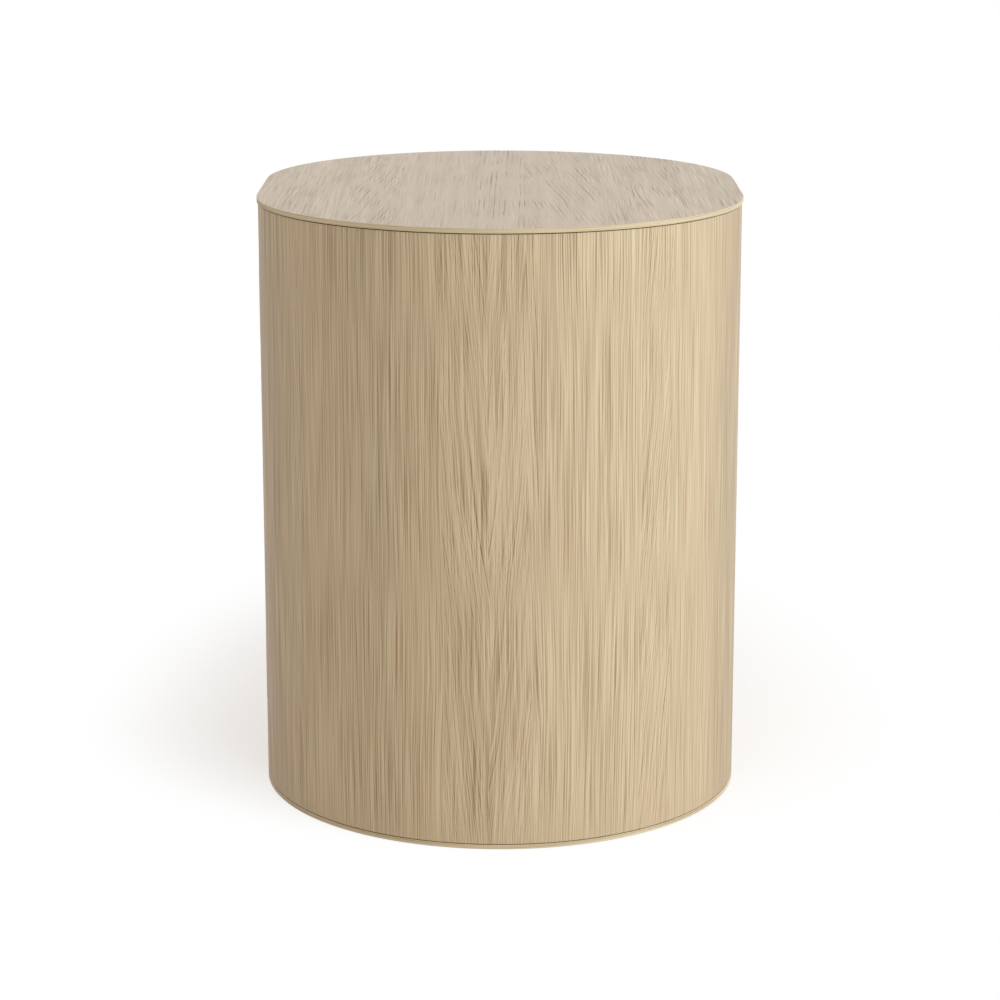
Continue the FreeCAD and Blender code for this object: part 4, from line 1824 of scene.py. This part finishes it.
@dataclass
class Hinges(Assembly):
    """The two butt hinges in the left seam."""

    half: float = 0.030
    knuckle_count: int = 3
    knuckle_radius: float = 0.0024
    notch_radius: float = 0.0027
    end_gap: float = 0.00015
    pin_radius: float = 0.0012
    pin_crown: Profile = ((0.5, 0.0), (0.85, 0.0001), (1.0, 0.00035))
    bore_radius: float = 0.00125
    leaf_width: float = 0.032
    leaf_ease: float = 0.0001

    def barrels(self, level: float, indices: Sequence[int], radius: float,
                gap: float) -> list[Piece]:
        """Makes the round lengths at some of the knuckles' places.

        Args:
            level: The height of the hinge's middle.
            indices: Which knuckles, counted from below.
            radius: Their radius.
            gap: How much shorter than a knuckle's place they are at each end.

        Returns:
            The round lengths.
        """
        step = 2 * self.half / self.knuckle_count
        return [rod(radius, (PLAN.hinge_x, PLAN.seam_y, level - self.half + index * step + gap),
                    "Z", step - 2 * gap) for index in indices]

    def leaf(self, name: str, level: float, face_y: float, inward: float,
             own: Sequence[int], other: Sequence[int]) -> Piece:
        """Makes one leaf with its knuckles, its notches and its screw holes.

        Args:
            name: The piece's name.
            level: The height of the hinge's middle.
            face_y: The wood face that it lies on.
            inward: The way from that face into the seam, 1 or -1.
            own: Which knuckles are its own.
            other: Which knuckles it makes room for.

        Returns:
            The leaf.
        """
        far_y = face_y + inward * PLAN.sheet_thickness
        obj = block(name, (PLAN.hinge_x, face_y, level - self.half),
                    (PLAN.hinge_x + self.leaf_width, far_y, level + self.half), self.leaf_ease)
        carve(obj, self.barrels(level, own, self.knuckle_radius, self.end_gap), "UNION")
        carve(obj, self.barrels(level, other, self.notch_radius, -self.end_gap))
        carve(obj, [rod(self.bore_radius, (PLAN.hinge_x, PLAN.seam_y, level - self.half - MM),
                        "Z", 2 * (self.half + MM))])
        places = upright_pair(PLAN.hinge_screw_x, far_y, level, PLAN.hinge_screw_reach)
        carve(obj, screw_holes(places, (0.0, -inward, 0.0)))
        smooth(obj)
        return obj

    def pin(self, name: str, level: float) -> Piece:
        """Turns one pin with crowned ends.

        Args:
            name: The piece's name.
            level: The height of its middle.

        Returns:
            The pin.
        """
        lower = [(share * self.pin_radius, rise - self.half) for share, rise in self.pin_crown]
        upper = [(radius, -height) for radius, height in reversed(lower)]
        return aim(turned(name, lower + upper, HOLE_STEPS), (PLAN.hinge_x, PLAN.seam_y, level), UP)

    def build(self) -> None:
        """Makes both hinges and seats their leaves on the two bodies."""
        for place, level in zip(("bottom", "top"), PLAN.hinge_levels):
            pieces = (
                (self.leaf(place + "_carcass_leaf", level, PLAN.rear_end_y, -1.0, (0, 2), (1,)),
                 Body.CARCASS, "fixed_leaf"),
                (self.leaf(place + "_swing_leaf", level, PLAN.door_end_y, 1.0, (1,), (0, 2)),
                 Body.DOOR, "door_leaf"),
                (self.pin(place + "_hinge_pin_rod", level), Body.CARCASS, "pin"),
            )
            for obj, body, part in pieces:
                self.seat(obj, body, Slot.BRASS, f"hinge_{place}_{part}", self.palette.brass)


@dataclass
class PushLatch(Assembly):
    """The push latch in the right post and its strike on the door."""

    housing: Profile = (
        (0.0046, 0.036), (0.005, 0.0356), (0.005, 0.0004), (0.0047, 0.0), (0.0032, 0.0),
        (0.003, 0.0003), (0.003, 0.0348))
    plunger: Profile = (
        (0.0026, 0.020), (0.00295, 0.0196), (0.00295, 0.0006), (0.0028, 0.0002),
        (0.0025, 0.0), (0.00182, 0.0), (0.00182, 0.003))
    magnet: Profile = ((0.0016, 0.0), (0.0018, 0.00015), (0.0018, 0.0028), (0.0017, 0.003))
    plunger_tip_y: float = -0.0507
    spring_ends: tuple[float, float] = (-0.0289, -0.0142)
    spring_radius: float = 0.00195
    wire_radius: float = 0.00025
    wire_sides: int = 8
    coils: int = 11
    coil_steps: int = 16
    strike_ease: float = 0.00015

    def spring(self) -> Piece:
        """Winds the coil spring from a round of wire and closes its two ends.

        Returns:
            The spring.
        """
        clear_selection()
        wire = self.wire_radius
        start, end = self.spring_ends
        bpy.ops.mesh.primitive_circle_add(vertices=self.wire_sides, radius=wire,
                                          location=(self.spring_radius, 0.0, wire),
                                          rotation=(math.pi / 2, 0.0, 0.0))
        obj = named("latch_coil")
        apply_modifier(obj, "SCREW", angle=2 * math.pi, iterations=self.coils,
                       steps=self.coil_steps, render_steps=self.coil_steps,
                       screw_offset=(end - start - 2 * wire) / self.coils)
        with editing(obj):
            bpy.ops.mesh.select_all(action="SELECT")
            bpy.ops.mesh.fill_holes(sides=self.wire_sides)
            align_faces()
        smooth(obj)
        return aim(obj, (PLAN.post_middle_x, start, PLAN.latch_level), BACK)

    def strike(self) -> Piece:
        """Makes the strike plate with its two countersunk holes.

        Returns:
            The plate.
        """
        obj = strike_block("strike_sheet", PLAN.door_end_y, self.strike_ease)
        places = upright_pair(PLAN.post_middle_x, PLAN.door_end_y, PLAN.latch_level,
                              PLAN.strike_screw_reach)
        carve(obj, screw_holes(places, FRONT))
        smooth(obj)
        return obj

    def round_piece(self, name: str, profile: Profile, mouth_y: float) -> Piece:
        """Turns one of the latch's round pieces and lays it in the post from its mouth on."""
        return aim(turned(name, profile), (PLAN.post_middle_x, mouth_y, PLAN.latch_level), BACK)

    def build(self) -> None:
        """Makes the latch and seats its fixed and moving pieces."""
        for obj, body, slot, node, finish in (
                (self.round_piece("latch_tube", self.housing, PLAN.rear_end_y),
                 Body.CARCASS, Slot.PLASTIC, "latch_housing", self.palette.plastic),
                (self.round_piece("latch_slide", self.plunger, self.plunger_tip_y),
                 Body.PLUNGER, Slot.PLASTIC, "latch_plunger", self.palette.plastic),
                (self.round_piece("latch_magnet_disc", self.magnet, self.plunger_tip_y),
                 Body.PLUNGER, Slot.STEEL, "latch_magnet", self.palette.steel),
                (self.spring(), Body.CARCASS, Slot.STEEL, "latch_spring", self.palette.steel),
                (self.strike(), Body.DOOR, Slot.STEEL, "strike_plate", self.palette.steel)):
            self.seat(obj, body, slot, node, finish)


@dataclass
class Glides(Assembly):
    """The four felt discs that the table stands on."""

    x: float = 0.120
    y: float = 0.140
    profile: Profile = (
        (0.0134, 0.0), (0.0138, 0.0001), (0.014, 0.0004), (0.014, 0.0007), (0.0138, 0.0009),
        (0.0134, 0.001))

    def build(self) -> None:
        """Makes the discs and seats them under the base."""
        seats = [((side * self.x, end * self.y, 0.0), UP) for side in SIDES for end in SIDES]
        obj = join(spread(turned("glide", self.profile), seats), "felt_discs")
        self.seat(obj, Body.CARCASS, Slot.FELT, "floor_glides", self.palette.felt)


@dataclass
class Studio:
    """The floor, the lamps and the camera."""

    camera_distance: float = 2.3645
    camera_height: float = 0.8072
    camera_pitch: float = 0.22349
    camera_lens: float = 101.585
    camera_sensor: float = 36.0
    camera_shift: float = -0.05
    floor_size: float = 14.0
    floor_light: float = 0.76
    floor_roughness: float = 0.9
    shadow_light: float = 0.6
    shadow_base: float = 0.515
    shadow_reach: float = 0.215
    shadow_end: float = 0.39
    shadow_middle: float = 0.10
    shadow_front_share: float = 1.05
    shadow_back_share: float = 0.55
    ambient: float = 0.612
    ambient_tint: Triple = (1.0, 0.945, 0.885)
    lamp_place: Triple = (2.6, -1.75, 1.35)
    lamp_target: Triple = (0.0, 0.0, 0.25)
    lamp_size: float = 1.6
    lamp_power: float = 59.0
    lamp_tint: Triple = (0.84, 0.93, 1.0)

    def blended(self, bench: NodeBench, *shaders: Socket) -> Socket:
        """Shows one shader to the rays that carry light and another one to the camera.

        Args:
            bench: The material or world being made.
            shaders: The sockets of the two shaders.

        Returns:
            The socket of both, where gloss and glass count as the camera.
        """
        seen = 0.0
        path = bench.add("LightPath").outputs
        for kind in ("Is Camera Ray", "Is Glossy Ray", "Is Transmission Ray"):
            seen = bench.math("MAXIMUM", seen, path[kind])
        return bench.add("MixShader", seen, *shaders).outputs[0]

    def shadow_edge(self, bench: NodeBench) -> Socket:
        """Measures how far a place on the floor lies out of the table's shadow.

        Args:
            bench: The material being made.

        Returns:
            The socket of 0 in the shadow and 1 far from it.
        """
        x, y, _ = bench.place()
        deep = bench.math("SUBTRACT", y, self.shadow_middle / MM)
        deep = bench.math("MAXIMUM", bench.scaled(deep, self.shadow_back_share),
                          bench.scaled(deep, -self.shadow_front_share))
        away = bench.math("SQRT", bench.scaled(x, x, bench.math("POWER", deep, 2.0)))
        return bench.steps(away, self.shadow_reach / MM, self.shadow_end / MM)

    def floor(self) -> None:
        """Makes the pale floor, which shows white to the camera and keeps the shadow."""
        clear_selection()
        bpy.ops.mesh.primitive_plane_add(size=self.floor_size, location=(0.0, 0.0, 0.0))
        obj = named("studio_floor")
        bench = NodeBench("pale floor")
        bench.surface(grey(self.floor_light), self.floor_roughness, specular_ior_level=0.0)
        cloth = bench.add("BsdfDiffuse", grey(self.shadow_light)).outputs[0]
        base = bench.add("Emission", grey(self.shadow_base)).outputs[0]
        shaded = bench.add("AddShader", cloth, base).outputs[0]
        white = bench.add("Emission", grey(1.0)).outputs[0]
        shown = bench.add("MixShader", self.shadow_edge(bench), shaded, white).outputs[0]
        bench.feed(bench.output.inputs[0], self.blended(bench, bench.shader.outputs[0], shown))
        dress(obj, [bench.material])

    def world(self) -> None:
        """Makes the even surroundings: white to the camera, softer on the table."""
        world = bpy.data.worlds.new("studio")
        bpy.context.scene.world = world
        world.use_nodes = True
        bench = NodeBench(tree=world.node_tree)
        room = bench.add("Background", (*self.ambient_tint, 1.0), self.ambient)
        white = bench.add("Background", grey(1.0), 1.0)
        bench.add("OutputWorld", self.blended(bench, room.outputs[0], white.outputs[0]))

    def light(self) -> None:
        """Hangs the one soft lamp, on the right in front."""
        clear_selection()
        bpy.ops.object.light_add(type="AREA", location=self.lamp_place)
        lamp = bpy.context.object
        lamp.name = "key lamp"
        lamp.data.shape = "DISK"
        lamp.data.size = self.lamp_size
        lamp.data.energy = self.lamp_power
        lamp.data.color = self.lamp_tint
        way = Vector(self.lamp_target) - Vector(self.lamp_place)
        lamp.rotation_mode = "QUATERNION"
        lamp.rotation_quaternion = way.to_track_quat("-Z", "Y")

    def camera(self) -> None:
        """Sets the camera where the photographer stood."""
        clear_selection()
        bpy.ops.object.camera_add(location=(0.0, -self.camera_distance, self.camera_height),
                                  rotation=(math.pi / 2 - self.camera_pitch, 0.0, 0.0))
        camera = bpy.context.object
        camera.data.lens = self.camera_lens
        camera.data.sensor_width = self.camera_sensor
        camera.data.shift_y = self.camera_shift
        bpy.context.scene.camera = camera

    def build(self) -> None:
        """Sets up the whole studio."""
        bpy.context.scene.view_settings.view_transform = "Standard"
        self.floor()
        self.world()
        self.light()
        self.camera()


def main() -> None:
    """Builds the studio and the table, in order."""
    logging.basicConfig(level=logging.INFO, format="%(message)s")
    palette = Palette()
    Studio().build()
    for assembly in (TopAndBase, BentWalls, CoreBoards, Posts, DoorFrame, ShelfAndPegs,
                     Fasteners, Hinges, PushLatch, Glides):
        assembly(palette).build()


if __name__ == "__main__":
    main()
